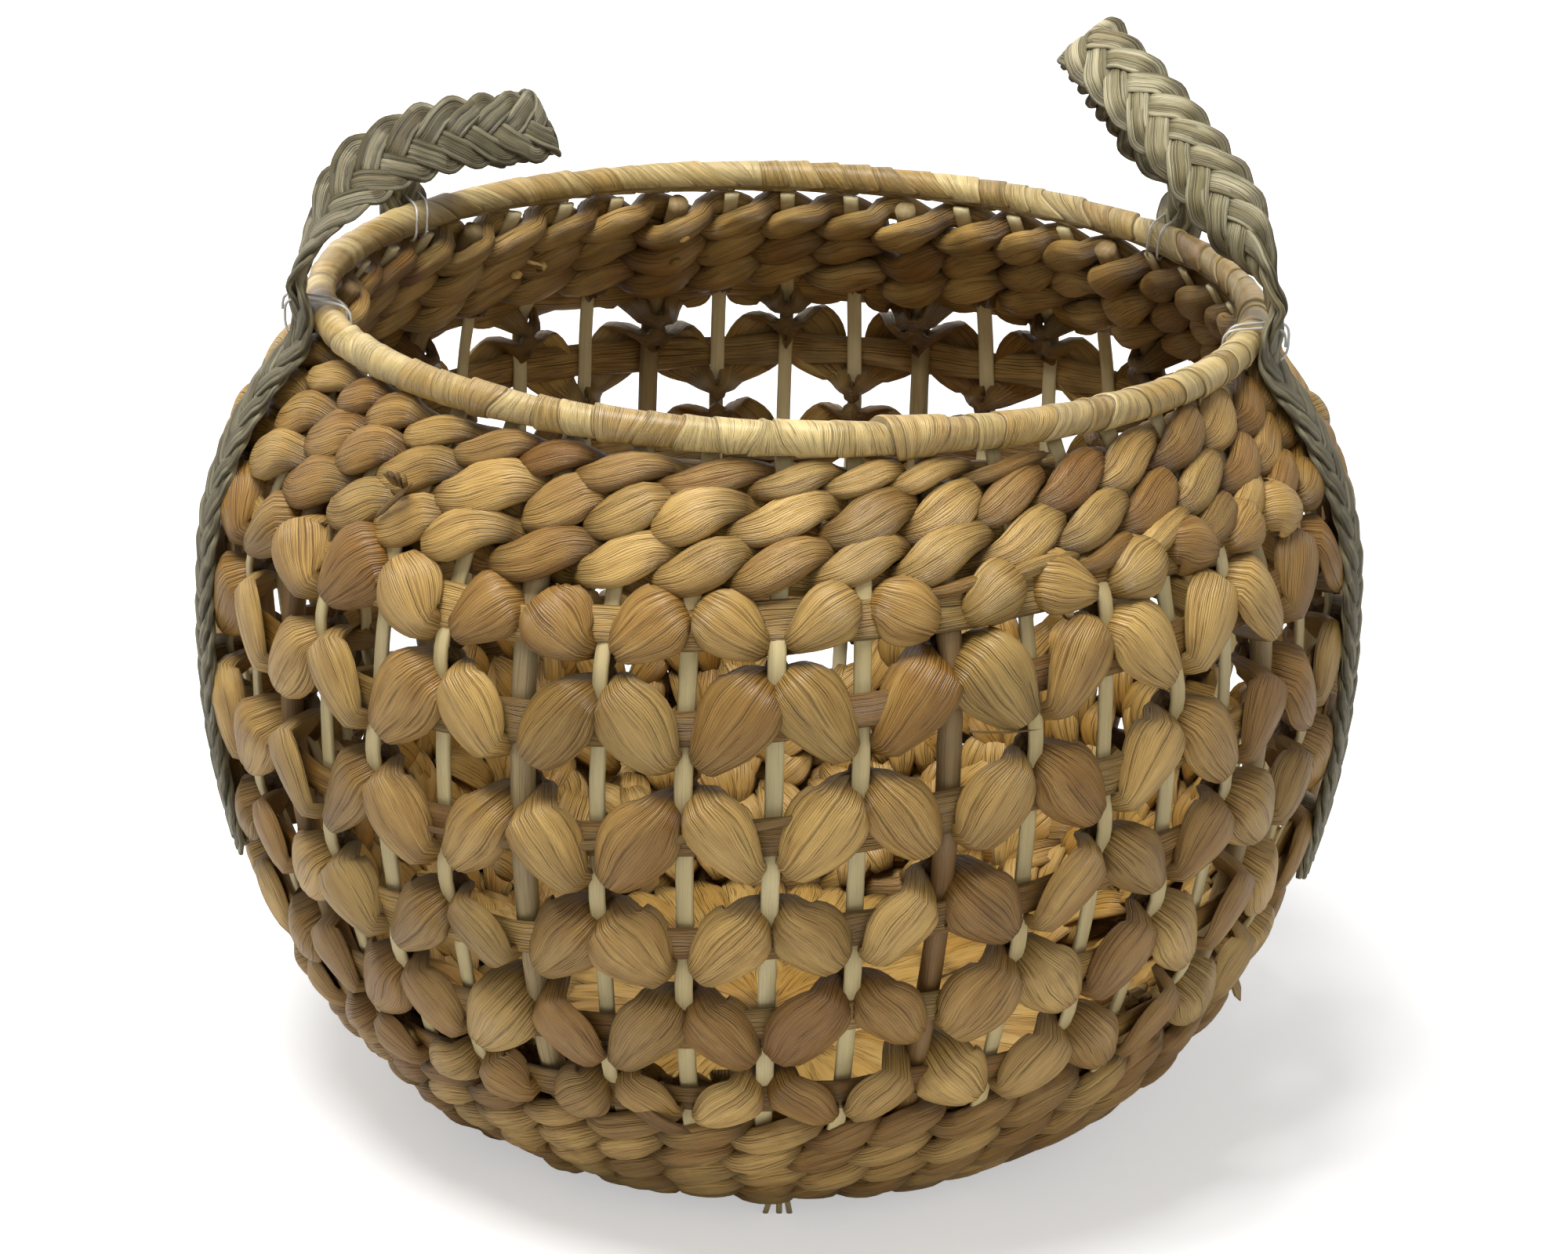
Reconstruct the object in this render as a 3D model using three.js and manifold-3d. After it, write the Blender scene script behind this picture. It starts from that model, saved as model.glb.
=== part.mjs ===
// A round-bellied openwork basket of twisted water hyacinth on upright reeds and canes,
// with a bound rim and two braided strap handles. Millimetres, +Z up, standing on z = 0.
// The front faces -Y. A place round the basket is given in stakes: stake 0 is at the front,
// and the count grows towards +X. "Out" is measured square to the wall, from the stakes' face.
import * as THREE from 'three';
import Module from 'manifold-3d';

// Clearance between pieces that touch
const GAP = 0.3;

// Stakes
const STAKES = 44;
const CANE_PLACES = [2, 7, 11, 16, 20, 24, 28, 32, 37, 41];
const CANE_D = 8;
const REED_W = 5.5;
const REED_T = 2.2;
const REED_END_R = 60;

// Wall, as radius and height of the stakes' outer face
const SOLE_T = 9;
const BASE_R = 124;
const FOOT_R = 177;
const FOOT_Z = 66;
const BELLY_R = 203;
const BELLY_Z = 201;
const SHOULDER_R = 190.5;
const SHOULDER_Z = 261.5;
const NECK_R = 167;
const NECK_Z = 297.5;

// Woven rows, from the ground up: how each stretch of wall is shared among its rows
const LOWER_ROWS = 3;
const BEND_ROWS = 2;
const OPEN_ROWS = [[0.37, 0.63], [0.45, 0.55], [1], [1]];
const UPPER_ROWS = [0.38, 0.38, 0.24];
const ROPE_T = 7;
const BACK_T = 5.6;
const LOBE = 0.62;
const RIBBON_W = 9;
const RIBBON_T = 2.1;
const PETAL_W = 21;
const PETAL_T = 4.8;
const PETAL_NECK_W = 8;
const PETAL_NECK_T = 3;
const PETAL_NECK_AT = 0.34;
const TIP_T = 4;
const TIP_ROOM = 2.2;
const CANE_ROOM = 1;

// Base
const FLOOR_T = 5.5;
const SOLE_BULGE = 3;

// Rim
const HOOP_D = 7.4;
const BINDING_T = 1.3;
const THREAD_D = 1.4;

// Handles
const STRAP_W = 26;
const STRAP_T = 5;
const FRONT_LEG_AT = 9;
const REAR_LEG_AT = 15;
const LEG_END_Z = 112;
const HINGE_RISE = 12;
const FOLD_HALF = 5;
const STRAP_ROOM = 1;
const ARCH = 1.6;
const LEFT_LENGTH = 84;
const LEFT_LEAN = 56;
const LEFT_BOW = 13;
const LEFT_TURNED = 0.75;
const RIGHT_LENGTH = 93;
const RIGHT_LEAN = 37;
const RIGHT_BOW = 5;
const RIGHT_TURNED = 0.42;
const LOOPS = [
  {
    name: 'left', mirror: -1, length: LEFT_LENGTH, lean: LEFT_LEAN, bow: LEFT_BOW,
    turned: LEFT_TURNED,
  },
  {
    name: 'right', mirror: 1, length: RIGHT_LENGTH, lean: RIGHT_LEAN, bow: RIGHT_BOW,
    turned: RIGHT_TURNED,
  },
];

// Colours
const HYACINTH = '#b98f52';
const HYACINTH_PALE = '#c9a468';
const HYACINTH_DARK = '#94693a';
const REED = '#d8c79c';
const CANE = '#8f7350';
const SEAGRASS = '#8f8a68';
const THREAD = '#e6e4dc';

const wasm = await Module();
wasm.setup();

const basket = new THREE.Group();

function add(name, geometry, color, roughness = 0.8) {
  const material = new THREE.MeshStandardMaterial({ color, roughness, metalness: 0 });
  const mesh = new THREE.Mesh(geometry, material);
  mesh.name = name;
  basket.add(mesh);
}

function two(number) {
  return String(number).padStart(2, '0');
}

// Solids through like sections

function signedVolume(points, faces) {
  let volume = 0;
  for (let i = 0; i < faces.length; i += 3) {
    const [a, b, c] = [points[faces[i]], points[faces[i + 1]], points[faces[i + 2]]];
    volume += a.dot(b.clone().cross(c)) / 6;
  }
  return volume;
}

function solid(points, faces) {
  const index = signedVolume(points, faces) < 0 ? faces.slice().reverse() : faces;
  const geometry = new THREE.BufferGeometry().setFromPoints(points);
  geometry.setIndex(index);
  return geometry;
}

// Each face between two rings is split along its shorter diagonal, so that it doesn't cross others
function loft(rings, closed = false) {
  const points = rings.flat();
  const size = rings[0].length;
  const spans = closed ? rings.length : rings.length - 1;
  const faces = [];
  for (let i = 0; i < spans; i += 1) {
    const here = i * size;
    const next = ((i + 1) % rings.length) * size;
    for (let j = 0; j < size; j += 1) {
      const k = (j + 1) % size;
      const [a, b, c, d] = [here + j, next + j, next + k, here + k];
      const rising = points[a].distanceTo(points[c]) <= points[b].distanceTo(points[d]);
      faces.push(...(rising ? [a, b, c, a, c, d] : [a, b, d, b, c, d]));
    }
  }
  if (!closed) {
    const last = (rings.length - 1) * size;
    for (let j = 1; j < size - 1; j += 1) {
      faces.push(0, j, j + 1, last, last + j + 1, last + j);
    }
  }
  return solid(points, faces);
}

function fuse(geometries) {
  const parts = geometries.map((geometry) => new wasm.Manifold(new wasm.Mesh({
    numProp: 3,
    vertProperties: new Float32Array(geometry.attributes.position.array),
    triVerts: new Uint32Array(geometry.index.array),
  })));
  const mesh = parts.reduce((sum, part) => sum.add(part)).getMesh();
  const geometry = new THREE.BufferGeometry();
  geometry.setAttribute('position', new THREE.BufferAttribute(mesh.vertProperties, 3));
  geometry.setIndex(new THREE.BufferAttribute(mesh.triVerts, 1));
  return geometry;
}

// The wall: a line of knots from the middle of the base to the neck, where rows meet

const BASE_Z = SOLE_T + GAP;
const base = new THREE.Vector2(BASE_R, BASE_Z);
const foot = new THREE.Vector2(FOOT_R, FOOT_Z);
const belly = new THREE.Vector2(BELLY_R, BELLY_Z);
const shoulder = new THREE.Vector2(SHOULDER_R, SHOULDER_Z);
const neck = new THREE.Vector2(NECK_R, NECK_Z);
const curve = new THREE.SplineCurve([base, foot, belly, shoulder, neck]);
const bend = curve.getPoint(LOWER_ROWS / (LOWER_ROWS + BEND_ROWS) / 4);
const flank = curve.getPoint(1.46 / 4);
const breast = curve.getPoint(2.57 / 4);
const knots = [
  new THREE.Vector2(REED_END_R, BASE_Z), base, bend, foot, flank, belly, breast, shoulder, neck,
];
const [, AT_BASE, AT_BEND, AT_FOOT, AT_FLANK, AT_BELLY, AT_BREAST, AT_SHOULDER, AT_NECK] =
  knots.map((_, i) => knots.slice(1, i + 1).reduce((sum, p, k) => sum + p.distanceTo(knots[k]), 0));
const REACHES = [
  0, AT_BASE, AT_BEND, AT_FOOT, AT_FLANK, AT_BELLY, AT_BREAST, AT_SHOULDER, AT_NECK,
];

function facetNormal(i) {
  const along = knots[i + 1].clone().sub(knots[i]).normalize();
  return new THREE.Vector2(along.y, -along.x);
}

// Radius, height and outward direction at a reach along the wall, mitred at a knot
function wallAt(reach) {
  const knot = REACHES.indexOf(reach);
  if (knot > 0 && knot < knots.length - 1) {
    const [below, above] = [facetNormal(knot - 1), facetNormal(knot)];
    const out = below.clone().add(above).divideScalar(1 + below.dot(above));
    return { point: knots[knot], out };
  }
  const found = REACHES.findIndex((r) => r > reach) - 1;
  const i = found < 0 ? knots.length - 2 : found;
  const share = (reach - REACHES[i]) / (REACHES[i + 1] - REACHES[i]);
  return { point: knots[i].clone().lerp(knots[i + 1], share), out: facetNormal(i) };
}

function turnOf(stake) {
  return (2 * Math.PI * stake) / STAKES;
}

function polar(stake, radius, z, side = 0) {
  const turn = turnOf(stake);
  return new THREE.Vector3(
    radius * Math.sin(turn) + side * Math.cos(turn),
    -radius * Math.cos(turn) + side * Math.sin(turn),
    z,
  );
}

// A point of the wall: the stake it is at, its reach, how far out and how far to the side
function place(stake, reach, out, side = 0) {
  const { point, out: away } = wallAt(reach);
  return polar(stake, point.x + away.x * out, point.y + away.y * out, side);
}

function stakeSteps(every) {
  return Array.from({ length: STAKES * every }, (_, i) => i / every);
}

// The rows of one stretch of wall, between two reaches
function shareOut(start, end, shares) {
  const total = shares.reduce((sum, share) => sum + share, 0);
  let at = start;
  return shares.map((share) => {
    const row = { start: at, end: at + ((end - start) * share) / total };
    at = row.end;
    return row;
  });
}

// Stakes: round canes and flat reeds

const CANE_START = AT_BASE + 0.75 * CANE_D;
const wallReaches = REACHES.slice(2);

function caneSolid(stake) {
  const radius = CANE_D / 2;
  return loft([CANE_START, ...wallReaches].map((reach) => [0, 1, 2, 3, 4, 5].map((corner) => {
    const angle = (corner * Math.PI) / 3;
    return place(stake, reach, radius * Math.cos(angle) - radius, radius * Math.sin(angle));
  })));
}

function reedSolid(stake) {
  return loft([0, AT_BASE, ...wallReaches].map((reach) => [
    place(stake, reach, 0, REED_W / 2),
    place(stake, reach, -REED_T, REED_W / 2),
    place(stake, reach, -REED_T, -REED_W / 2),
    place(stake, reach, 0, -REED_W / 2),
  ]));
}

// The reeds between two canes, with their folded tops laid along the neck
function reedGroup(first, last) {
  const reeds = [];
  for (let stake = first; stake <= last; stake += 1) {
    reeds.push(stake);
  }
  const inset = REED_T / 20;
  const fold = loft(reeds.map((stake) => [
    place(stake, AT_NECK - inset, -inset),
    place(stake, AT_NECK - inset, inset - REED_T),
    place(stake, AT_NECK - 2 * REED_T, inset - REED_T),
    place(stake, AT_NECK - 2 * REED_T, -inset),
  ]));
  return fuse([...reeds.map(reedSolid), fold]);
}

// Woven rows

const SEAT = GAP + 0.2;

// One strand laid round the outside of the stakes, as a row of lobes or plain
function ropeRow(row, lobed) {
  const middle = (row.start + row.end) / 2;
  const half = (row.end - row.start) / 2 - GAP / 2;
  const steps = stakeSteps(lobed ? 2 : 1);
  return loft(steps.map((stake) => {
    const swell = Number.isInteger(stake) ? 1 : LOBE;
    const height = half * (0.6 + 0.4 * swell);
    return [
      place(stake, middle - height, SEAT),
      place(stake, middle - 0.55 * height, SEAT + ROPE_T * swell),
      place(stake, middle + 0.55 * height, SEAT + ROPE_T * swell),
      place(stake, middle + height, SEAT),
    ];
  }), true);
}

// Strands behind the stakes, which run on in a spiral, as one band. Its lower edge is raised off
// the band below it
function backBand(reaches, raised = 0) {
  const outer = -CANE_D - SEAT;
  const steps = stakeSteps(1).filter((stake) => stake % 2 === 0);
  return loft(steps.map((stake) => {
    const side = (out) => reaches.map((reach) => place(stake, reach, out));
    const [outside, inside] = [side(outer), side(outer - BACK_T)];
    outside[0].z += raised;
    inside[0].z += raised;
    return [...outside, ...inside.reverse()];
  }), true);
}

function rowTip(row) {
  return (row.end - row.start) / 2 - TIP_T / 2 - TIP_ROOM;
}

// The flat core strand of an openwork row, outside the stakes
function ribbonRow(row) {
  const middle = (row.start + row.end) / 2;
  const half = Math.min(RIBBON_W / 2, 0.3 * rowTip(row));
  return loft(stakeSteps(1).map((stake) => [
    place(stake, middle - half, SEAT),
    place(stake, middle - half, SEAT + RIBBON_T),
    place(stake, middle + half, SEAT + RIBBON_T),
    place(stake, middle + half, SEAT),
  ]), true);
}

// A zigzag strand: a fat petal over the ribbon between stakes, drawn in to a tip behind each
// stake, by turns at the head and the foot of its row
function petalRow(row, headStakes) {
  const middle = (row.start + row.end) / 2;
  const tip = rowTip(row);
  const pitch = (2 * Math.PI * wallAt(middle).point.x) / STAKES;
  const slope = Math.atan2(2 * tip, pitch);
  const seat = SEAT + RIBBON_T + GAP;
  const half = Math.min(PETAL_W / 2, 0.72 * tip);
  const neckHalf = Math.min(PETAL_NECK_W / 2, 0.28 * tip);
  const rings = [];

  function tipRing(stake, rise, behind) {
    const out = -behind - SEAT - TIP_T;
    rings.push([
      place(stake, middle + rise, out + TIP_T),
      place(stake, middle + rise + TIP_T / 2, out),
      place(stake, middle + rise - TIP_T / 2, out),
    ]);
  }

  function petalRing(stake, share, rise, width, thickness, down) {
    const across = (width * Math.sin(slope) * down) / pitch;
    const up = width * Math.cos(slope);
    rings.push([
      place(stake + share, middle + rise, seat + thickness),
      place(stake + share + across, middle + rise + up, seat),
      place(stake + share - across, middle + rise - up, seat),
    ]);
  }

  for (let stake = 0; stake < STAKES; stake += 1) {
    const head = stake % 2 === headStakes ? 1 : -1;
    if (CANE_PLACES.includes(stake)) {
      const beside = (CANE_D / 2 + CANE_ROOM) / pitch;
      tipRing(stake - beside, head * tip, CANE_D);
      tipRing(stake + beside, head * tip, CANE_D);
    } else {
      tipRing(stake, head * tip, REED_T + TIP_T);
    }
    petalRing(stake, PETAL_NECK_AT, 0.62 * head * tip, neckHalf, PETAL_NECK_T, head);
    petalRing(stake, 0.5, 0, half, PETAL_T, head);
    petalRing(stake, 1 - PETAL_NECK_AT, -0.62 * head * tip, neckHalf, PETAL_NECK_T, head);
  }
  return loft(rings, true);
}

// Base: a woven sole under the reeds and a woven floor over them

function turned(profile) {
  const points = profile.map(([radius, z]) => new THREE.Vector2(radius, z));
  const geometry = new THREE.LatheGeometry(points, STAKES);
  return geometry.rotateX(Math.PI / 2);
}

function soleSolid() {
  return turned([
    [0, 0], [BASE_R, 0], [BASE_R + SOLE_BULGE, SOLE_T / 2], [BASE_R - GAP, SOLE_T], [0, SOLE_T],
  ]);
}

function floorSolid() {
  const low = BASE_Z + REED_T + GAP;
  const radius = BASE_R - FLOOR_T;
  return turned([[0, low], [radius, low], [radius, low + FLOOR_T], [0, low + FLOOR_T]]);
}

// Rim: a bent hoop in a wrapped binding, which is open on its inner side

const BINDING_R = HOOP_D / 2 + 2 * GAP + BINDING_T;
const HOOP_R = NECK_R + 0.25 * BINDING_R;
const HOOP_Z = NECK_Z + THREAD_D + 4 * GAP + BINDING_R;
const RIM_TOP = HOOP_Z + BINDING_R;

function rimRing(outline) {
  return loft(stakeSteps(1).map((stake) => outline.map(([angle, radius]) => polar(
    stake,
    HOOP_R + radius * Math.cos(angle),
    HOOP_Z + radius * Math.sin(angle),
  ))), true);
}

function hoopSolid() {
  const corners = [0, 1, 2, 3, 4, 5];
  return rimRing(corners.map((corner) => [(corner * Math.PI) / 3, HOOP_D / 2]));
}

function bindingSolid() {
  const corners = [-2, -1, 0, 1, 2].map((corner) => (corner * Math.PI) / 3);
  return rimRing([
    ...corners.map((angle) => [angle, BINDING_R]),
    ...corners.reverse().map((angle) => [angle, BINDING_R - BINDING_T]),
  ]);
}

// Handles: a braided strap in two legs that lie on the wall and a loop hinged above the rim

const STRAP_SEAT = SEAT + RIBBON_T + GAP + PETAL_T + GAP + STRAP_T / 2;
const HINGE_R = HOOP_R + BINDING_R + GAP + STRAP_T / 2 + STRAP_ROOM;
const HINGE_Z = RIM_TOP + HINGE_RISE;
const LEG_MIDDLE = (FRONT_LEG_AT + REAR_LEG_AT) / 2;
const LEG_SPREAD = turnOf(REAR_LEG_AT - FRONT_LEG_AT) / 2;

function strapRing(centre, across, through, thin = 1) {
  const [wide, thick] = [STRAP_W / 2, (STRAP_T / 2) * thin];
  return [[1, 1], [-1, 1], [-1, -1], [1, -1]].map(([a, b]) => centre.clone()
    .addScaledVector(across, a * wide)
    .addScaledVector(through, b * thick));
}

// Reach along the wall for a height between two knots
function reachAtHeight(z) {
  const i = knots.findIndex((knot) => knot.y > z) - 1;
  const share = (z - knots[i].y) / (knots[i + 1].y - knots[i].y);
  return REACHES[i] + share * (REACHES[i + 1] - REACHES[i]);
}

// A leg at a stake: up the wall, clear of the rim, then turned square to the hinge line
function legSolid(mirror, stake, twist) {
  const turn = turnOf(stake) * mirror;
  const round = new THREE.Vector3(Math.cos(turn), Math.sin(turn), 0);
  const away = new THREE.Vector3(Math.sin(turn), -Math.cos(turn), 0);
  const up = new THREE.Vector3(0, 0, 1);
  const legEnd = reachAtHeight(LEG_END_Z);
  const rings = [legEnd, ...REACHES.filter((reach) => reach > legEnd)].map((reach) => {
    const { point, out } = wallAt(reach);
    const centre = away.clone().multiplyScalar(point.x + out.x * STRAP_SEAT)
      .addScaledVector(up, point.y + out.y * STRAP_SEAT);
    const through = away.clone().multiplyScalar(out.x).addScaledVector(up, out.y);
    return strapRing(centre, round, through);
  });
  const tied = RIM_TOP + THREAD_D + 2 * GAP;
  const top = HINGE_Z - STRAP_T / 2 - GAP;
  [0, 0.4, 0.7, 1].forEach((share) => {
    const angle = twist * share * mirror;
    const across = round.clone().applyAxisAngle(up, angle);
    const through = away.clone().applyAxisAngle(up, angle);
    const centre = away.clone().multiplyScalar(HINGE_R)
      .addScaledVector(up, tied + (top - tied) * share);
    rings.push(strapRing(centre, across, through));
  });
  return loft(rings);
}

// The loop leans in over the basket, its strap turning edge on up to the fold
function loopSolid({ mirror, length, lean, bow, turned }) {
  const turn = turnOf(LEG_MIDDLE) * mirror;
  const away = new THREE.Vector3(Math.sin(turn), -Math.cos(turn), 0);
  const round = new THREE.Vector3(Math.cos(turn), Math.sin(turn), 0).multiplyScalar(mirror);
  const up = new THREE.Vector3(0, 0, 1);
  const tilt = THREE.MathUtils.degToRad(lean);
  const rise = up.clone().multiplyScalar(Math.cos(tilt)).addScaledVector(away, -Math.sin(tilt));
  const face = up.clone().multiplyScalar(Math.sin(tilt)).addScaledVector(away, Math.cos(tilt));
  const middle = away.clone().multiplyScalar(HINGE_R * Math.cos(LEG_SPREAD))
    .addScaledVector(up, HINGE_Z);
  const spread = HINGE_R * Math.sin(LEG_SPREAD);
  const shares = [0, 0.11, 0.18, 0.26, 0.34, 0.42, 0.62, 0.82, 0.96];
  const arm = shares.map((share) => {
    return new THREE.Vector3(
      FOLD_HALF + (spread - FOLD_HALF) * (1 - share ** ARCH),
      length * share,
      bow * Math.sin(Math.PI * share),
    );
  });
  const fold = [new THREE.Vector3(0, length, 0)];
  const back = arm.slice().reverse().map((p) => new THREE.Vector3(-p.x, p.y, p.z));
  const path = [...arm, ...fold, ...back];
  const twists = [...shares, 1, ...shares.slice().reverse()].map(
    (share) => (Math.PI / 2) * THREE.MathUtils.smoothstep(share, 0.05, turned),
  );
  const local = (p) => middle.clone().addScaledVector(round, -p.x)
    .addScaledVector(rise, p.y).addScaledVector(face, p.z);
  function ringAt(point, along, twist, thin) {
    const level = along.clone().cross(face).normalize();
    const edge = level.clone().cross(along).normalize();
    const across = level.multiplyScalar(Math.cos(twist)).addScaledVector(edge, Math.sin(twist));
    const through = along.clone().cross(across).normalize();
    return strapRing(local(point), across, through, thin);
  }

  // Each end is rounded about the hinge line
  function heel(side, degrees) {
    const angle = THREE.MathUtils.degToRad(degrees);
    const point = new THREE.Vector3(side * spread, (-STRAP_T / 2) * Math.sin(angle), 0);
    return ringAt(point, rise.clone().multiplyScalar(side), 0, Math.cos(angle));
  }

  const last = path.length - 1;
  const rings = path.map((point, i) => {
    const chord = local(path[Math.min(i + 1, last)]).sub(local(path[Math.max(i - 1, 0)]));
    const atEnd = i === 0 || i === last;
    const along = atEnd ? rise.clone().multiplyScalar(i === 0 ? 1 : -1) : chord.normalize();
    return ringAt(point, along, twists[i]);
  });
  return loft([heel(1, 80), heel(1, 45), ...rings, heel(-1, 45), heel(-1, 80)]);
}

// A thread tied round the hoop and the strap, under the rim on one side, over it on the other
function tieSolid(mirror, stake) {
  const low = NECK_Z + 2 * GAP + THREAD_D / 2;
  const high = RIM_TOP + GAP + THREAD_D / 2;
  const inner = HOOP_R - BINDING_R - GAP - THREAD_D / 2;
  const outer = HINGE_R + STRAP_T / 2 + GAP + THREAD_D / 2;
  const wide = STRAP_W / 2 + GAP + THREAD_D / 2;
  const lower = outer + 1.6 * GAP + STRAP_T / 2;
  const corners = [
    polar(stake * mirror, lower, low, -wide),
    polar(stake * mirror, outer, high, wide),
    polar(stake * mirror, inner, high, wide),
    polar(stake * mirror, inner, low, -wide),
  ];
  const middle = corners.reduce((sum, p) => sum.add(p), new THREE.Vector3()).divideScalar(4);
  return loft(corners.map((corner, i) => {
    const before = corners[(i + 3) % 4].clone().sub(corner).normalize();
    const after = corners[(i + 1) % 4].clone().sub(corner).normalize();
    const inward = before.clone().add(after).normalize();
    const normal = before.clone().cross(after).normalize();
    const diagonal = THREAD_D / 2 / Math.sin(before.angleTo(after) / 2);
    const half = THREAD_D / 2;
    return [[1, 1], [1, -1], [-1, -1], [-1, 1]].map(([a, b]) => corner.clone()
      .addScaledVector(inward, a * diagonal)
      .addScaledVector(normal, b * half));
  }), true);
}

// The basket

add('base_sole', soleSolid(), HYACINTH_DARK);
add('base_floor', floorSolid(), HYACINTH_PALE);

CANE_PLACES.forEach((stake, i) => {
  add(`cane_${two(i + 1)}`, caneSolid(stake), CANE, 0.6);
  const next = CANE_PLACES[(i + 1) % CANE_PLACES.length];
  const last = (next > stake ? next : next + STAKES) - 1;
  add(`reed_group_${two(i + 1)}`, reedGroup(stake + 1, last), REED, 0.6);
});

const lowerRows = [
  ...shareOut(AT_BASE, AT_BEND, Array(LOWER_ROWS).fill(1)),
  ...shareOut(AT_BEND, AT_FOOT, Array(BEND_ROWS).fill(1)),
];
lowerRows.forEach((row, i) => {
  add(`lower_rope_${i + 1}`, ropeRow(row, false), HYACINTH);
});
add('lower_back_1', backBand([CANE_START, AT_BEND]), HYACINTH_DARK);
add('lower_back_2', backBand([AT_BEND, AT_FOOT - 2 * TIP_ROOM], 1.5 * GAP), HYACINTH_DARK);

const openStretches = [
  [AT_FOOT, AT_FLANK], [AT_FLANK, AT_BELLY], [AT_BELLY, AT_BREAST], [AT_BREAST, AT_SHOULDER],
];
const openRows = openStretches.flatMap(([start, end], i) => shareOut(start, end, OPEN_ROWS[i]));
openRows.forEach((row, i) => {
  add(`openwork_ribbon_${i + 1}`, ribbonRow(row), HYACINTH_DARK);
  add(`openwork_petals_${i + 1}`, petalRow(row, i % 2), HYACINTH_PALE);
});

const upperRows = shareOut(AT_SHOULDER, AT_NECK - TIP_ROOM, UPPER_ROWS);
upperRows.forEach((row, i) => {
  add(`upper_rope_${i + 1}`, ropeRow(row, true), HYACINTH);
});
add('upper_back', backBand([AT_SHOULDER + TIP_ROOM, AT_NECK - 2 * TIP_ROOM]), HYACINTH_DARK);

add('rim_hoop', hoopSolid(), CANE, 0.6);
add('rim_binding', bindingSolid(), HYACINTH, 0.5);

LOOPS.forEach((loop) => {
  const legs = [['front', FRONT_LEG_AT, LEG_SPREAD], ['rear', REAR_LEG_AT, -LEG_SPREAD]];
  legs.forEach(([name, stake, twist]) => {
    add(`${loop.name}_${name}_leg`, legSolid(loop.mirror, stake, twist), SEAGRASS);
    add(`${loop.name}_${name}_tie`, tieSolid(loop.mirror, stake), THREAD, 0.3);
  });
  add(`${loop.name}_handle_loop`, loopSolid(loop), SEAGRASS);
});

export default basket;
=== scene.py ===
import math

import bpy
import numpy as np
from bpy.props import FloatProperty, FloatVectorProperty, IntProperty, PointerProperty
from mathutils import Matrix, Vector


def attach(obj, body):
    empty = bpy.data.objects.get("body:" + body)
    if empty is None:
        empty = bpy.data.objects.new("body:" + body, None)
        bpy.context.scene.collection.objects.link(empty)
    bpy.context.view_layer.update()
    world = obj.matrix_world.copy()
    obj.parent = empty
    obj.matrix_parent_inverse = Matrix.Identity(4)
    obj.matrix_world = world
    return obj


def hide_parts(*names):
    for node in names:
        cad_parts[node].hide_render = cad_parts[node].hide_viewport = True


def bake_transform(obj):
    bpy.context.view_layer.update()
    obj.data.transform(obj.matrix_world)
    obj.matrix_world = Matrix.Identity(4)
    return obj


bl_info = {
    "name": "Openwork Fibre Basket",
    "version": (1, 0, 0),
    "blender": (4, 5, 0),
    "location": "3D View > Sidebar > Basket",
    "description": "Weaves the strands, stakes, rim and handles of an openwork basket",
    "category": "Add Mesh",
}

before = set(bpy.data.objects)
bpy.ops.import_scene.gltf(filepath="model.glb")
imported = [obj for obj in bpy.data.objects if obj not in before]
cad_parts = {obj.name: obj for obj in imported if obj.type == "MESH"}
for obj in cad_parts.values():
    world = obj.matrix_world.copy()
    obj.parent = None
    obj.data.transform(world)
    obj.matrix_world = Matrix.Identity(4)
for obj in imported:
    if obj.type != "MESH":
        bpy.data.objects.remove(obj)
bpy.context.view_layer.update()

SEED = 7
LOBES_DRAWN = 47
TURN = 2 * math.pi
UP = np.array([0.0, 0.0, 1.0])

# Stakes and wall, as in the part's source. A knot of the wall's outline is a radius and a height.
STAKES = 44
CANE_PLACES = (2, 7, 11, 16, 20, 24, 28, 32, 37, 41)
CANE_D = 0.008
REED_T = 0.0022
KNOTS = np.array([
    (0.0, 9.3), (60.0, 9.3), (124.0, 9.3), (160.97, 39.05), (177.0, 66.0), (197.02, 128.0),
    (203.0, 201.0), (198.67, 241.12), (190.5, 261.5), (167.0, 297.5),
]) / 1000

# Rim, ties and straps, as in the part's source
HOOP_R = 0.1684
HOOP_Z = 0.3057
BINDING_R = 0.0056
HINGE_R = 0.1778
HINGE_Z = 0.3233
LEG_STAKES = (9, 15)
LEG_END_Z = 0.112
STRAP_SEAT = 0.0107

# The straps' loops as they lie: the side, the length, the lean in degrees, the bow of the front and
# the rear half, and the share of the loop from which its broad side is turned out
LOOPS = {
    "left": {"mirror": -1, "length": 0.081, "lean": 61, "bow": (0.019, -0.001), "turned": 0.66},
    "right": {"mirror": 1, "length": 0.093, "lean": 37, "bow": (0.005, 0.002), "turned": 0.42},
}


# Curves and the wall

def smooth(x):
    """From 0 to 1 with level ends."""
    return x * x * (3 - 2 * x)


def eased(value, low, high):
    """From 0 at low to 1 at high, smoothly."""
    return smooth(np.clip((value - low) / (high - low), 0, 1))


def squared(wave, power):
    """A sine or cosine that is fuller, the lower the power."""
    return np.sign(wave) * np.abs(wave) ** power


def unit(vectors):
    """The vectors with length 1."""
    return vectors / np.maximum(np.linalg.norm(vectors, axis=-1, keepdims=True), 1e-12)


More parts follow.
